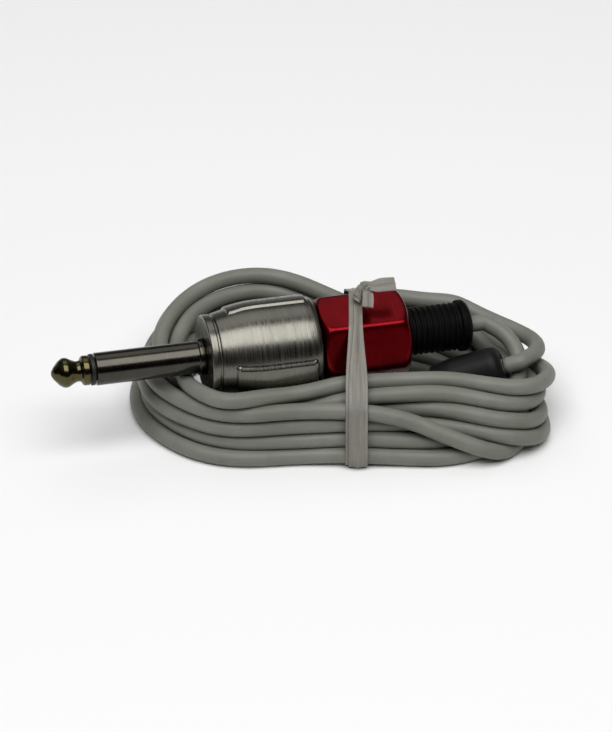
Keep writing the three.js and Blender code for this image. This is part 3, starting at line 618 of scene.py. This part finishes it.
def jacket_material():
    """Pale grey vinyl with faint drawn lines along it and a little handling grime."""
    material, wire, shader = material_with("jacket_vinyl", Specular_IOR_Level=0.25)
    vector = placed_vector(wire)
    grain = group_node(wire, GRAIN, Vector=vector, Patch_Scale=90.0, Grain_Scale=2600.0)
    uv = wire.node("ShaderNodeTexCoord").outputs["UV"]
    along = wire.node("ShaderNodeMapping", {"Vector": uv})
    along.inputs["Scale"].default_value = (2.0, 60.0, 1.0)
    lines = wire.noise(along.outputs["Vector"], 1.0, 3.0)
    tone = wire.mixed(grain.outputs["Patches"], (0.20, 0.205, 0.177, 1), (0.152, 0.154, 0.129, 1))
    tone = wire.mixed(wire.ranged(lines, 0.45, 0.75, 0.0, 0.35), tone, (0.27, 0.27, 0.24, 1))
    grime = wire.ranged(wire.noise(vector, 330.0, 5.0, 0.7), 0.56, 0.78, 0.0, 0.30)
    tone = wire.mixed(grime, tone, (0.09, 0.088, 0.066, 1))
    roughness = wire.ranged(grain.outputs["Patches"], 0.0, 1.0, 0.36, 0.50)
    height = wire.plus(wire.times(lines, 1.2), wire.times(grain.outputs["Specks"], 0.25))
    surfaced(wire, shader, tone, roughness, height, 0.22, 0.00005)
    return material


def moulded(name, tone, worn, roughness, strength=0.2, matrix=None, grain_scale=3200.0, specular=0.3):
    """Moulded plastic or rubber with a fine texture, a little duller where it is handled."""
    material, wire, shader = material_with(name, Specular_IOR_Level=specular)
    vector = placed_vector(wire, matrix)
    grain = group_node(wire, GRAIN, Vector=vector, Patch_Scale=180.0, Grain_Scale=grain_scale, Grain_Share=0.7)
    wear_and_shade = group_node(wire, WEAR_AND_SHADE, Vector=vector, Amount=0.7)
    colour = wire.mixed(wire.times(grain.outputs["Patches"], 0.5), tone, worn)
    colour = wire.mixed(wear_and_shade.outputs["Edges"], colour, shade(worn, 1.8))
    # Painted shade: the hollows get the plastic's own colour made darker.
    colour = wire.mixed(wire.times(wear_and_shade.outputs["Hollows"], 0.6), colour, shade(tone, 0.6))
    patchy = wire.ranged(grain.outputs["Patches"], 0.0, 1.0, roughness - 0.05, roughness + 0.07)
    surfaced(wire, shader, colour, patchy, grain.outputs["Height"], strength, 0.00005)
    return material


def anodised_material():
    """Red anodised aluminium, glossy, with faint turning marks."""
    material, wire, shader = material_with("red_anodised", Metallic=1.0, Coat_Weight=0.05, Coat_Roughness=0.12)
    vector = placed_vector(wire, PLUG)
    turning = group_node(wire, TURNING, Vector=vector, Rings=3000.0, Drift=500.0)
    grain = group_node(wire, GRAIN, Vector=vector, Patch_Scale=200.0, Grain_Scale=3600.0)
    wear_and_shade = group_node(wire, WEAR_AND_SHADE, Vector=vector, Amount=0.5)
    tone = wire.mixed(grain.outputs["Patches"], (0.17, 0.003, 0.006, 1), (0.125, 0.002, 0.0045, 1))
    tone = wire.mixed(wear_and_shade.outputs["Edges"], tone, (0.34, 0.03, 0.035, 1))
    roughness = wire.ranged(turning.outputs["Rings"], 0.3, 0.7, 0.26, 0.36)
    surfaced(wire, shader, tone, roughness, turning.outputs["Rings"], 0.05, 0.00004)
    return material


def tie_material():
    """Off-white vinyl of the tie, a little see-through at its edges, with the wire's ridge dulled."""
    material, wire, shader = material_with("tie_vinyl", Specular_IOR_Level=0.3, Subsurface_Weight=0.08,
                                           Subsurface_Radius=(0.0008, 0.0007, 0.0006))
    vector = placed_vector(wire)
    uv = wire.node("ShaderNodeTexCoord").outputs["UV"]
    streak = wire.node("ShaderNodeMapping", {"Vector": uv})
    streak.inputs["Scale"].default_value = (40.0, 1.2, 1.0)
    streaks = wire.noise(streak.outputs["Vector"], 1.0, 4.0)
    grain = group_node(wire, GRAIN, Vector=vector, Patch_Scale=220.0, Grain_Scale=2400.0)
    tone = wire.mixed(wire.ranged(streaks, 0.35, 0.7), (0.235, 0.23, 0.21, 1), (0.15, 0.146, 0.13, 1))
    tone = wire.mixed(wire.times(grain.outputs["Patches"], 0.4), tone, (0.30, 0.26, 0.20, 1))
    roughness, height = wire.ranged(streaks, 0.3, 0.7, 0.38, 0.55), wire.plus(streaks, grain.outputs["Specks"])
    surfaced(wire, shader, tone, roughness, height, 0.25, 0.00008)
    return material


BLACK_NICKEL = metal("black_nickel", PLUG, (0.062, 0.058, 0.049, 1), (0.042, 0.039, 0.031, 1), 0.14, 0.24)
DARK_GOLD = metal("dark_gold", PLUG, (0.09, 0.078, 0.038, 1), (0.055, 0.046, 0.020, 1), 0.12, 0.22)
SATIN_NICKEL = metal("satin_nickel", PLUG, (0.16, 0.155, 0.134, 1), (0.115, 0.111, 0.094, 1), 0.20, 0.34,
                     3600.0, 0.25)
MINI_METAL = metal("mini_nickel", MINI, (0.42, 0.40, 0.35, 1), (0.32, 0.30, 0.26, 1), 0.14, 0.26)
MINI_GOLD = metal("mini_gold", MINI, (0.40, 0.34, 0.18, 1), (0.30, 0.25, 0.12, 1), 0.14, 0.26)
TINNED = metal("tinned_metal", PLUG, (0.62, 0.61, 0.58, 1), (0.46, 0.45, 0.42, 1), 0.30, 0.45)
COPPER = metal("copper_wire", PLUG, (0.62, 0.32, 0.18, 1), (0.48, 0.24, 0.13, 1), 0.32, 0.45)
JACKET = jacket_material()
RED = anodised_material()
TIE = tie_material()
BLACK_PLASTIC = moulded("black_plastic", (0.008, 0.008, 0.007, 1), (0.014, 0.014, 0.012, 1), 0.45)
RUBBER = moulded("black_rubber", (0.002, 0.002, 0.002, 1), (0.005, 0.005, 0.0045, 1), 0.52, 0.3, PLUG, specular=0.05)
GRIP_PLASTIC = moulded("grip_plastic", (0.006, 0.006, 0.0065, 1), (0.010, 0.010, 0.010, 1), 0.42, 0.12, MINI,
                       specular=0.16)
INSULATION = moulded("white_insulation", (0.68, 0.68, 0.65, 1), (0.58, 0.57, 0.52, 1), 0.45)

# ---- The cord ------------------------------------------------------------------------------------
def make_cord():
    """The jacket as one tube from the strain relief to the grip."""
    sides = 18
    points, faces = tube_mesh(ROUTE_FINE, CORD_RADIUS, sides)

    def along_and_around(mesh, corners):
        ring, side = corners // sides, corners % sides
        turn = 2 * np.abs(side / sides - 0.5)
        return np.column_stack([ring * 0.08, turn])

    cord = make_piece("cable_jacket", points, faces, JACKET, "root", uv=along_and_around)
    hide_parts("cable_hank", "cable_lead_a", "cable_lead_b")
    return cord


# ---- The 6.35 mm plug ----------------------------------------------------------------------------
RING_START = -JACK_LENGTH + TIP_LENGTH + CLEARANCE
RING_END = RING_START + 0.7
SLEEVE_START = RING_END + CLEARANCE
ROD_RADIUS = 1.1


def make_jack_tip():
    front, rear = -JACK_LENGTH, -JACK_LENGTH + TIP_LENGTH
    outline = [(front, 0), (front + 0.06, 0.45), (front + 0.5, 1.2), (front + 1.5, 2.35), (front + 2.3, 2.85),
               (front + 2.8, 2.92), (front + 3.3, 2.82), (front + 4.1, 2.36), (front + 4.9, 2.0),
               (front + 5.6, 2.0), (front + 6.1, 2.82), (front + 6.35, 2.9), (rear, 2.9), (rear, ROD_RADIUS),
               (11.5, ROD_RADIUS), (11.5, 0)]
    tip = turned_piece("jack_tip", outline, DARK_GOLD, "root", PLUG, 0.22, 0.5)
    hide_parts("a_tip")


def make_jack_ring():
    bore = ROD_RADIUS + CLEARANCE
    outline = [(RING_START, bore), (RING_START, 3.05), (RING_END, 3.05), (RING_END, 2.05), (8, 2.05), (8, bore)]
    ring = turned_piece("jack_ring", outline, BLACK_PLASTIC, "root", PLUG, 0.08, 1.0, closed=True)
    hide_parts("a_tip_insulator")


def make_jack_sleeve():
    bore = 2.35
    outline = [(SLEEVE_START, bore), (SLEEVE_START, JACK_RADIUS), (-COLLAR_LENGTH, JACK_RADIUS),
               (-COLLAR_LENGTH, COLLAR_RADIUS), (-CLEARANCE, COLLAR_RADIUS), (-CLEARANCE, JACK_RADIUS),
               (1.8, JACK_RADIUS), (1.8, 6.3), (3.4, 6.3), (3.4, 4.2), (8, 4.2), (8, bore)]
    sleeve = turned_piece("jack_sleeve", outline, BLACK_NICKEL, "root", PLUG, 0.16, 0.8, closed=True)
    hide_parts("a_sleeve")


PAD_START, PAD_END, PAD_HALF, PAD_HEIGHT, PAD_CORNER = 4.4, 20.6, 3.25, 0.4, 0.8
PAD_ANGLES = (-5.5, 114.5, 234.5)


def padded_radius(station, radius, around):
    """Raises the three grip pads, each with a broad bevel along its upper edge and narrow ones elsewhere."""
    raised = np.zeros_like(radius)
    for angle in PAD_ANGLES:
        turn = (around - math.radians(angle) + math.pi) % TAU - math.pi
        across = turn * radius
        x = np.abs(station - (PAD_START + PAD_END) / 2) - ((PAD_END - PAD_START) / 2 - PAD_CORNER)
        y = np.abs(across) - (PAD_HALF - PAD_CORNER)
        outside = np.hypot(np.maximum(x, 0), np.maximum(y, 0)) + np.minimum(np.maximum(x, y), 0) - PAD_CORNER
        bevel = np.where((across > PAD_HALF - 1.6) & (x < 0), 0.8, 0.3)
        raised = np.maximum(raised, PAD_HEIGHT * np.clip(-outside / bevel, 0, 1))
    return radius + np.where(radius > 8.3, raised, 0)


def make_shell():
    plain = SHELL_RADIUS - PAD_HEIGHT
    swell = [(2.0 + 9 * t, RIM_RADIUS + (plain - RIM_RADIUS) * math.sin(t * math.pi / 2))
             for t in np.linspace(0, 1, 13)]
    outside = [(0, 3.5), (0, RIM_RADIUS), (1.5, RIM_RADIUS), (1.5, RIM_RADIUS - 0.35), (2.0, RIM_RADIUS - 0.35),
               *swell, (19.5, plain), (20.9, plain - 0.15), (SHELL_LENGTH, SHELL_REAR - 0.1), (SHELL_LENGTH, 7.4)]
    outside = softened(outside, 0.4, 0.3)
    inside = np.array([(SHELL_LENGTH, 7.1), (16, 7.1), (8, 7.1), (1.5, 7.1), (1.5, 3.5)])
    points, faces = lathe(np.vstack([outside, inside]), 336, padded_radius, closed=True)
    shell = make_piece("plug_shell", carried(PLUG, points), faces, SATIN_NICKEL, "root", 35)
    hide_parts("a_shell")


NOSE_RADIUS, FLAT_TURN = 6.8, 78
CORNER, EDGE = 34, 40.0      # the higher, the sharper the nut's corners and the edges of its flats


def hexagonal(station, radius, around):
    """Cuts the nut's six flats, with soft corners."""
    apothem = NUT_ACROSS / 2 * math.cos(math.pi / 6)
    reach = sum(np.abs(np.cos(around - math.radians(FLAT_TURN + 60 * side))) ** CORNER for side in range(3))
    flats = apothem / reach ** (1 / CORNER)
    cut = (radius ** -EDGE + flats ** -EDGE) ** (-1 / EDGE)
    return np.where(radius > NOSE_RADIUS + 0.1, cut, radius)


def make_nut():
    end, round_off, nose = NUT_ACROSS / 2 + 0.3, 3.2, 17.3
    turns = np.linspace(0.17, 1, 12) * math.pi / 2
    run = [(round_off * (1 - math.cos(t)), end - round_off * (1 - math.sin(t))) for t in turns]
    front = [(NUT_START + back, radius) for back, radius in run]
    rear = [(NUT_END - back, radius) for back, radius in run[::-1]]
    outline = [(nose, 5.1), (nose, NOSE_RADIUS), (NUT_START, NOSE_RADIUS), *front, *rear, (NUT_END, 6.2),
               (NUT_END, 4.55), (36.6, 4.55), (36.6, 5.1)]
    nut = turned_piece("clamp_nut", outline, RED, "nut", PLUG, 0.25, 0.45, 240, hexagonal, True, 40)
    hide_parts("a_nut")


def rib_tree():
    """Rings along X: how many, how far apart, how wide, how high, and how far from the axis."""
    tree = bpy.data.node_groups.new("boot_ribs", "GeometryNodeTree")
    lengths_in = [(label, "NodeSocketFloat", None) for label in ("Pitch", "Width", "Height", "Radius")]
    add_sockets(tree, [("Geometry", "NodeSocketGeometry", None), ("Count", "NodeSocketInt", None), *lengths_in,
                       ("Material", "NodeSocketMaterial", None)], [("Geometry", "NodeSocketGeometry")])
    wire = Wiring(tree)
    entry, end = wire.node("NodeGroupInput"), wire.node("NodeGroupOutput")
    offset = wire.node("ShaderNodeCombineXYZ", {"X": entry.outputs["Pitch"]})
    stations = wire.node("GeometryNodeMeshLine", {"Count": entry.outputs["Count"], "Offset": offset.outputs[0]})
    circle = wire.node("GeometryNodeCurvePrimitiveCircle", {"Resolution": 84, "Radius": entry.outputs["Radius"]})
    section = wire.node("GeometryNodeCurvePrimitiveCircle", {"Resolution": 10, "Radius": 1.0})
    half = wire.times(entry.outputs["Width"], 0.5)
    size = wire.node("ShaderNodeCombineXYZ", {"X": entry.outputs["Height"], "Y": half, "Z": 1.0})
    shaped = wire.node("GeometryNodeTransform", {"Geometry": section.outputs["Curve"], "Scale": size.outputs[0]})
    ring = wire.node("GeometryNodeCurveToMesh", {"Curve": circle.outputs["Curve"],
                                                 "Profile Curve": shaped.outputs["Geometry"]})
    upright = wire.node("GeometryNodeTransform", {"Geometry": ring.outputs["Mesh"], "Rotation": (0, math.pi / 2, 0)})
    placed_rings = wire.node("GeometryNodeInstanceOnPoints", {"Points": stations.outputs["Mesh"],
                                                              "Instance": upright.outputs["Geometry"]})
    real = wire.node("GeometryNodeRealizeInstances", {"Geometry": placed_rings.outputs["Instances"]})
    dressed = wire.node("GeometryNodeSetMaterial", {"Geometry": real.outputs["Geometry"],
                                                    "Material": entry.outputs["Material"]})
    wire.feed(end.inputs["Geometry"], dressed.outputs["Geometry"])
    return tree


def baked_nodes(tree, values):
    """The plain mesh that a node tree makes from the given values."""
    carrier = linked("carrier", bpy.data.meshes.new("carrier"))
    modifier = carrier.modifiers.new("nodes", "NODES")
    modifier.node_group = tree
    for item in tree.interface.items_tree:
        if item.in_out == "INPUT" and item.name in values:
            modifier[item.identifier] = values[item.name]
    evaluated = carrier.evaluated_get(bpy.context.evaluated_depsgraph_get())
    mesh = bpy.data.meshes.new_from_object(evaluated)
    carrier.modifiers.remove(modifier)
    bpy.data.objects.remove(carrier)
    return mesh


def make_boot():
    """The strain relief: its flange, its core and its end ring."""
    outline = [(34.5, 1.9), (34.5, 4.8), (36.3, 4.8), (36.3, BOOT_ROOT), (51.1, BOOT_ROOT + 0.1), (51.15, 5.1),
               (52.3, 5.1), (53.0, 4.5), (BOOT_END, 3.7), (BOOT_END, 1.9)]
    boot = turned_piece("boot_core", outline, RUBBER, "strain_relief", PLUG, 0.2, 0.5, closed=True)
    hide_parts("a_boot")


def make_boot_ribs():
    mesh = baked_nodes(rib_tree(), {"Count": 9, "Pitch": 1.15 * MM, "Width": 0.72 * MM, "Height": 0.45 * MM,
                                    "Radius": 4.32 * MM, "Material": RUBBER})
    mesh.transform(Matrix.Translation((40.85 * MM, 0, 0)))
    lift = PLUG.copy()
    lift.translation *= MM
    mesh.transform(lift)
    mesh.shade_smooth()
    ribs = linked("boot_ribs", mesh)
    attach(ribs, "strain_relief")


# ---- The 3.5 mm plug -----------------------------------------------------------------------------
def make_mini_plug():
    tip = turned_piece("mini_tip", [(-14, 0), (-13.9, 0.35), (-13.6, 0.8), (-12.8, 1.55), (-12.5, 1.6), (-11.9, 1.12),
                                    (-11.5, 1.1), (-11.2, 1.58), (-10.6, 1.6), (-10.6, 0.45), (4.8, 0.45), (4.8, 0)],
                       MINI_GOLD, "root", MINI, 0.12, 0.5, 64)
    ring = turned_piece("mini_ring", [(-10.3, 0.75), (-10.3, 1.7), (-9.7, 1.7), (-9.7, 0.85), (3.2, 0.85),
                                      (3.2, 0.75)],
                        BLACK_PLASTIC, "root", MINI, 0.03, 1.0, 64, closed=True)
    sleeve = turned_piece("mini_sleeve", [(-9.4, 1.15), (-9.4, 1.75), (-1.1, 1.75), (-1.1, 2.9), (-0.3, 2.9),
                                          (-0.3, 1.75), (3.2, 1.75), (3.2, 1.15)],
                          MINI_METAL, "root", MINI, 0.1, 0.6, 64, closed=True)
    for piece, node in ((tip, "b_tip"), (ring, "b_tip_insulator"), (sleeve, "b_sleeve")):
        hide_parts(node)
    return [tip, ring, sleeve]


def squarish(station, radius, around):
    """Flattens the grip a little on four sides."""
    corner = (np.abs(np.cos(around - 0.5)) ** 3 + np.abs(np.sin(around - 0.5)) ** 3) ** (-1 / 3)
    shape = 1 + 0.42 * (corner / 1.122 - 1)
    return np.where(radius > 2.6, radius * shape, radius)


def make_grip():
    rounded = [(GRIP_LENGTH - GRIP_ROUND * (1 - math.sin(t)), GRIP_RADIUS - GRIP_ROUND * (1 - math.cos(t)))
               for t in np.linspace(0, math.pi / 2, 9)]
    outline = [(0, 2.05), (0, GRIP_FRONT), (4, GRIP_RADIUS), *rounded, (GRIP_LENGTH, 1.9), (10.6, 1.9), (10.6, 3.4),
               (1.2, 3.4), (1.2, 2.05)]
    grip = turned_piece("mini_grip", outline, GRIP_PLASTIC, "root", MINI, 0.35, 0.5, 120,
                        squarish, True, 45)
    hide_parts("b_grip")
    return grip


# ---- The tie -------------------------------------------------------------------------------------
def convex_hull(points):
    """The points of the convex hull, counterclockwise."""
    points = sorted(map(tuple, points))

    def half(run):
        chain = []
        for point in run:
            while len(chain) > 1 and ((chain[-1][0] - chain[-2][0]) * (point[1] - chain[-2][1])
                                      - (chain[-1][1] - chain[-2][1]) * (point[0] - chain[-2][0])) <= 0:
                chain.pop()
            chain.append(point)
        return chain[:-1]

    return np.array(half(points) + half(points[::-1]))


TIE_WIDTH, TWISTED_WIDTH = 3.7, 1.7


def waist_line(offset, count=260):
    """The taut line round all that the tie holds, in the YZ plane, at that offset from it."""
    near = ROUTE_FINE[np.abs(ROUTE_FINE[:, 0]) < 2.0]
    ring = np.linspace(0, TAU, 28, endpoint=False)
    circle = np.column_stack([np.cos(ring), np.sin(ring)])
    around = [centre[1:] + circle * (CORD_RADIUS + offset) for centre in near]
    corner_radius, corner_round = 8.75, 0.45
    for corner in range(6):
        angle = math.radians(FLAT_TURN - 30 + 60 * corner)
        place = np.array(PLUG_AT_WAIST[1:]) + corner_radius * np.array([-math.cos(angle), math.sin(angle)])
        around.append(place + circle * (corner_round + offset))
    line = convex_hull(np.vstack(around))
    line = respaced(np.vstack([line, line[0]]), count + 1)[:-1]
    for _ in range(4):
        line = 0.5 * line + 0.25 * (np.roll(line, 1, axis=0) + np.roll(line, -1, axis=0))
    return line


def ribbon(line, ways_out, width, thickness, closed=False):
    """A flat strip with a wire's ridge along its middle; ways_out point out of its face."""
    way = tangents(line, closed)
    ways_out = ways_out - way * (ways_out * way).sum(axis=1)[:, None]
    ways_out = ways_out / np.linalg.norm(ways_out, axis=1)[:, None]
    across = np.cross(way, ways_out)
    u = np.array([-1, -0.97, -0.6, -0.3, -0.17, 0, 0.17, 0.3, 0.6, 0.97, 1])
    ridge = 0.24 * np.exp(-(u / 0.2) ** 2)
    outer = np.column_stack([u, 0.5 * thickness + ridge])
    outer[[0, -1], 1] = 0.25 * thickness
    inner = np.column_stack([u[::-1], np.full(len(u), -0.5 * thickness)])
    inner[[0, -1], 1] = -0.25 * thickness
    section = np.vstack([outer, inner])
    points = (line[:, None, :] + across[:, None, :] * (section[None, :, 0] * width[:, None] / 2)[:, :, None]
              + ways_out[:, None, :] * section[None, :, 1][:, :, None])
    sides = len(section)
    faces = grid_faces(len(line), sides, closed) + ([] if closed else end_caps(len(line), sides))
    return points.reshape(-1, 3), faces, sides


def ribbon_uv(sides):
    def along_and_across(mesh, corners):
        return np.column_stack([(corners % sides) / sides, corners // sides * 0.05])
    return along_and_across


def tie_band(name, offset, shift, span, narrow):
    """One layer of the tie, from one share of the waist line to another."""
    ring = waist_line(offset)
    top = int(np.argmax(ring[:, 1]))
    ring = np.roll(ring, -top, axis=0)
    whole = span == (0, 1)
    if not whole:
        ring = ring[int(span[0] * len(ring)):int(span[1] * len(ring))]
    middle = ring.mean(axis=0) if whole else np.array([0, 12.0])
    line = np.column_stack([np.full(len(ring), shift), ring])
    out = np.column_stack([np.zeros(len(ring)), ring - middle])
    width = TIE_WIDTH - narrow * smoothstep(15, 25, ring[:, 1])
    points, faces, sides = ribbon(line, out, width, 0.32, closed=whole)
    points[:, 2] = np.maximum(points[:, 2], 0)
    return make_piece(name, points, faces, TIE, "root", 50, ribbon_uv(sides))


def twisted_tail(name, start_angle, tail, width):
    """One end of the tie: twisted with the other up from the nut, then left loose."""
    stem = catmull([(0.2, -1.6, 26.0), (0.35, -1.0, 26.9), (0.9, -0.4, 27.6), (1.6, 0.0, 28.0)], 12)
    way = tangents(stem)
    side = np.cross(way, (0, 0, 1.0))
    side /= np.linalg.norm(side, axis=1)[:, None]
    other = np.cross(side, way)
    turn = start_angle + np.linspace(0, 2.5 * math.pi, len(stem))
    out = np.cos(turn)[:, None] * side + np.sin(turn)[:, None] * other
    line = stem + 0.55 * out
    loose = catmull([line[-1], *tail], 12)[1:]
    line = np.vstack([line, loose])
    ways_out = np.vstack([out, np.repeat(out[-1:], len(loose), axis=0)])

    def eased(by):
        return np.concatenate([np.zeros(len(stem)), smoothstep(0, by, np.linspace(0, 1, len(loose)))])

    blend, share = eased(0.5), eased(0.6)
    ways_out = ways_out * (1 - blend)[:, None] + np.array([0.1, -0.45, 0.9]) * blend[:, None]

    points, faces, sides = ribbon(line, ways_out, TWISTED_WIDTH + (width - TWISTED_WIDTH) * share, 0.3)
    return make_piece(name, points, faces, TIE, "root", 50, ribbon_uv(sides))


def make_tie():
    inner = tie_band("tie_inner", 0.20, -0.25, (0, 1), 1.4)
    tie_band("tie_outer", 0.60, 0.35, (0.02, 0.40), 2.0)
    twisted_tail("tie_tail", 0.0, [(3.2, -0.2, 28.1), (5.4, 0.1, 28.3), (7.6, 0.6, 28.1)], 3.0)
    twisted_tail("tie_stub", math.pi, [(2.2, -1.6, 27.6), (2.3, -3.2, 26.9), (2.2, -4.6, 26.2)], 2.2)
    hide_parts("twist_tie")


# ---- What lies inside the plugs ------------------------------------------------------------------
def dress_inner_nodes():
    finishes = (
        (INSULATION, "a_rear_insulator a_core_insulation b_rear_insulator b_core_insulation"),
        (TINNED, "a_tip_lug a_ground_lug a_solder_tip a_solder_ground b_tip_lug b_ground_lug"),
        (BLACK_PLASTIC, "a_liner a_chuck b_inner_mould"),
        (JACKET, "a_jacket_end b_jacket_end"),
        (COPPER, "a_conductor a_shield_tail b_conductor"),
    )
    for material, nodes in finishes:
        for node in nodes.split():
            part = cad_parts[node]
            if part.material_slots:
                for place in part.material_slots:
                    place.material = material
            else:
                part.data.materials.append(material)


# ---- Floor, light --------------------------------------------------------------------------------
def make_floor():
    material, wire, shader = material_with("pale_floor", Roughness=0.8, Base_Color=(0.93, 0.93, 0.93, 1))
    sides, reach = 96, 1.6
    points = [(reach * math.cos(a), reach * math.sin(a), 0) for a in np.arange(sides) / sides * TAU]
    mesh = bpy.data.meshes.new("floor")
    mesh.from_pydata(points, [], [tuple(range(sides))])
    mesh.materials.append(material)
    linked("floor", mesh)


def area_lamp(name, place, aim, size, power):
    data = bpy.data.lights.new(name, "AREA")
    data.shape = "RECTANGLE"
    data.size, data.size_y = size
    data.energy = power
    lamp = linked(name, data)
    lamp.location = place
    lamp.rotation_euler = (Vector(aim) - Vector(place)).to_track_quat("-Z", "Y").to_euler()


def light_studio():
    bpy.context.scene.view_settings.view_transform = "Standard"
    world = bpy.data.worlds.new("studio")
    bpy.context.scene.world = world
    world.use_nodes = True
    wire = Wiring(world.node_tree)
    background = world.node_tree.nodes["Background"]
    way = wire.node("ShaderNodeTexCoord").outputs["Generated"]
    parts = wire.node("ShaderNodeSeparateXYZ", {"Vector": way})
    horizon = wire.ranged(parts.outputs["Z"], 0.05, 0.55, 1.0, 0.0)
    behind = wire.times(wire.ranged(parts.outputs["Y"], 0.1, 0.7, 0.0, 0.6), horizon)
    overhead = wire.ranged(parts.outputs["Z"], 0.45, 0.8, 0.0, 0.28)
    light = wire.maths("MAXIMUM", overhead, behind)
    tone = wire.mixed(light, (0.022, 0.022, 0.024, 1), (0.55, 0.55, 0.54, 1))
    wire.feed(background.inputs["Color"], tone)
    background.inputs["Strength"].default_value = 1.0
    area_lamp("key", (0.02, -0.31, 0.89), (-0.01, 0, 0.01), (1.1, 0.75), 9.8)
    area_lamp("top", (-0.12, 0.42, 0.70), (0, 0, 0.01), (0.7, 0.5), 1.0)


# ---- The whole cable -----------------------------------------------------------------------------
cord_piece = make_cord()
make_jack_tip()
make_jack_ring()
make_jack_sleeve()
make_shell()
make_nut()
make_boot()
make_boot_ribs()
mini_pieces = make_mini_plug()
grip_piece = make_grip()
make_tie()
dress_inner_nodes()
make_floor()
light_studio()
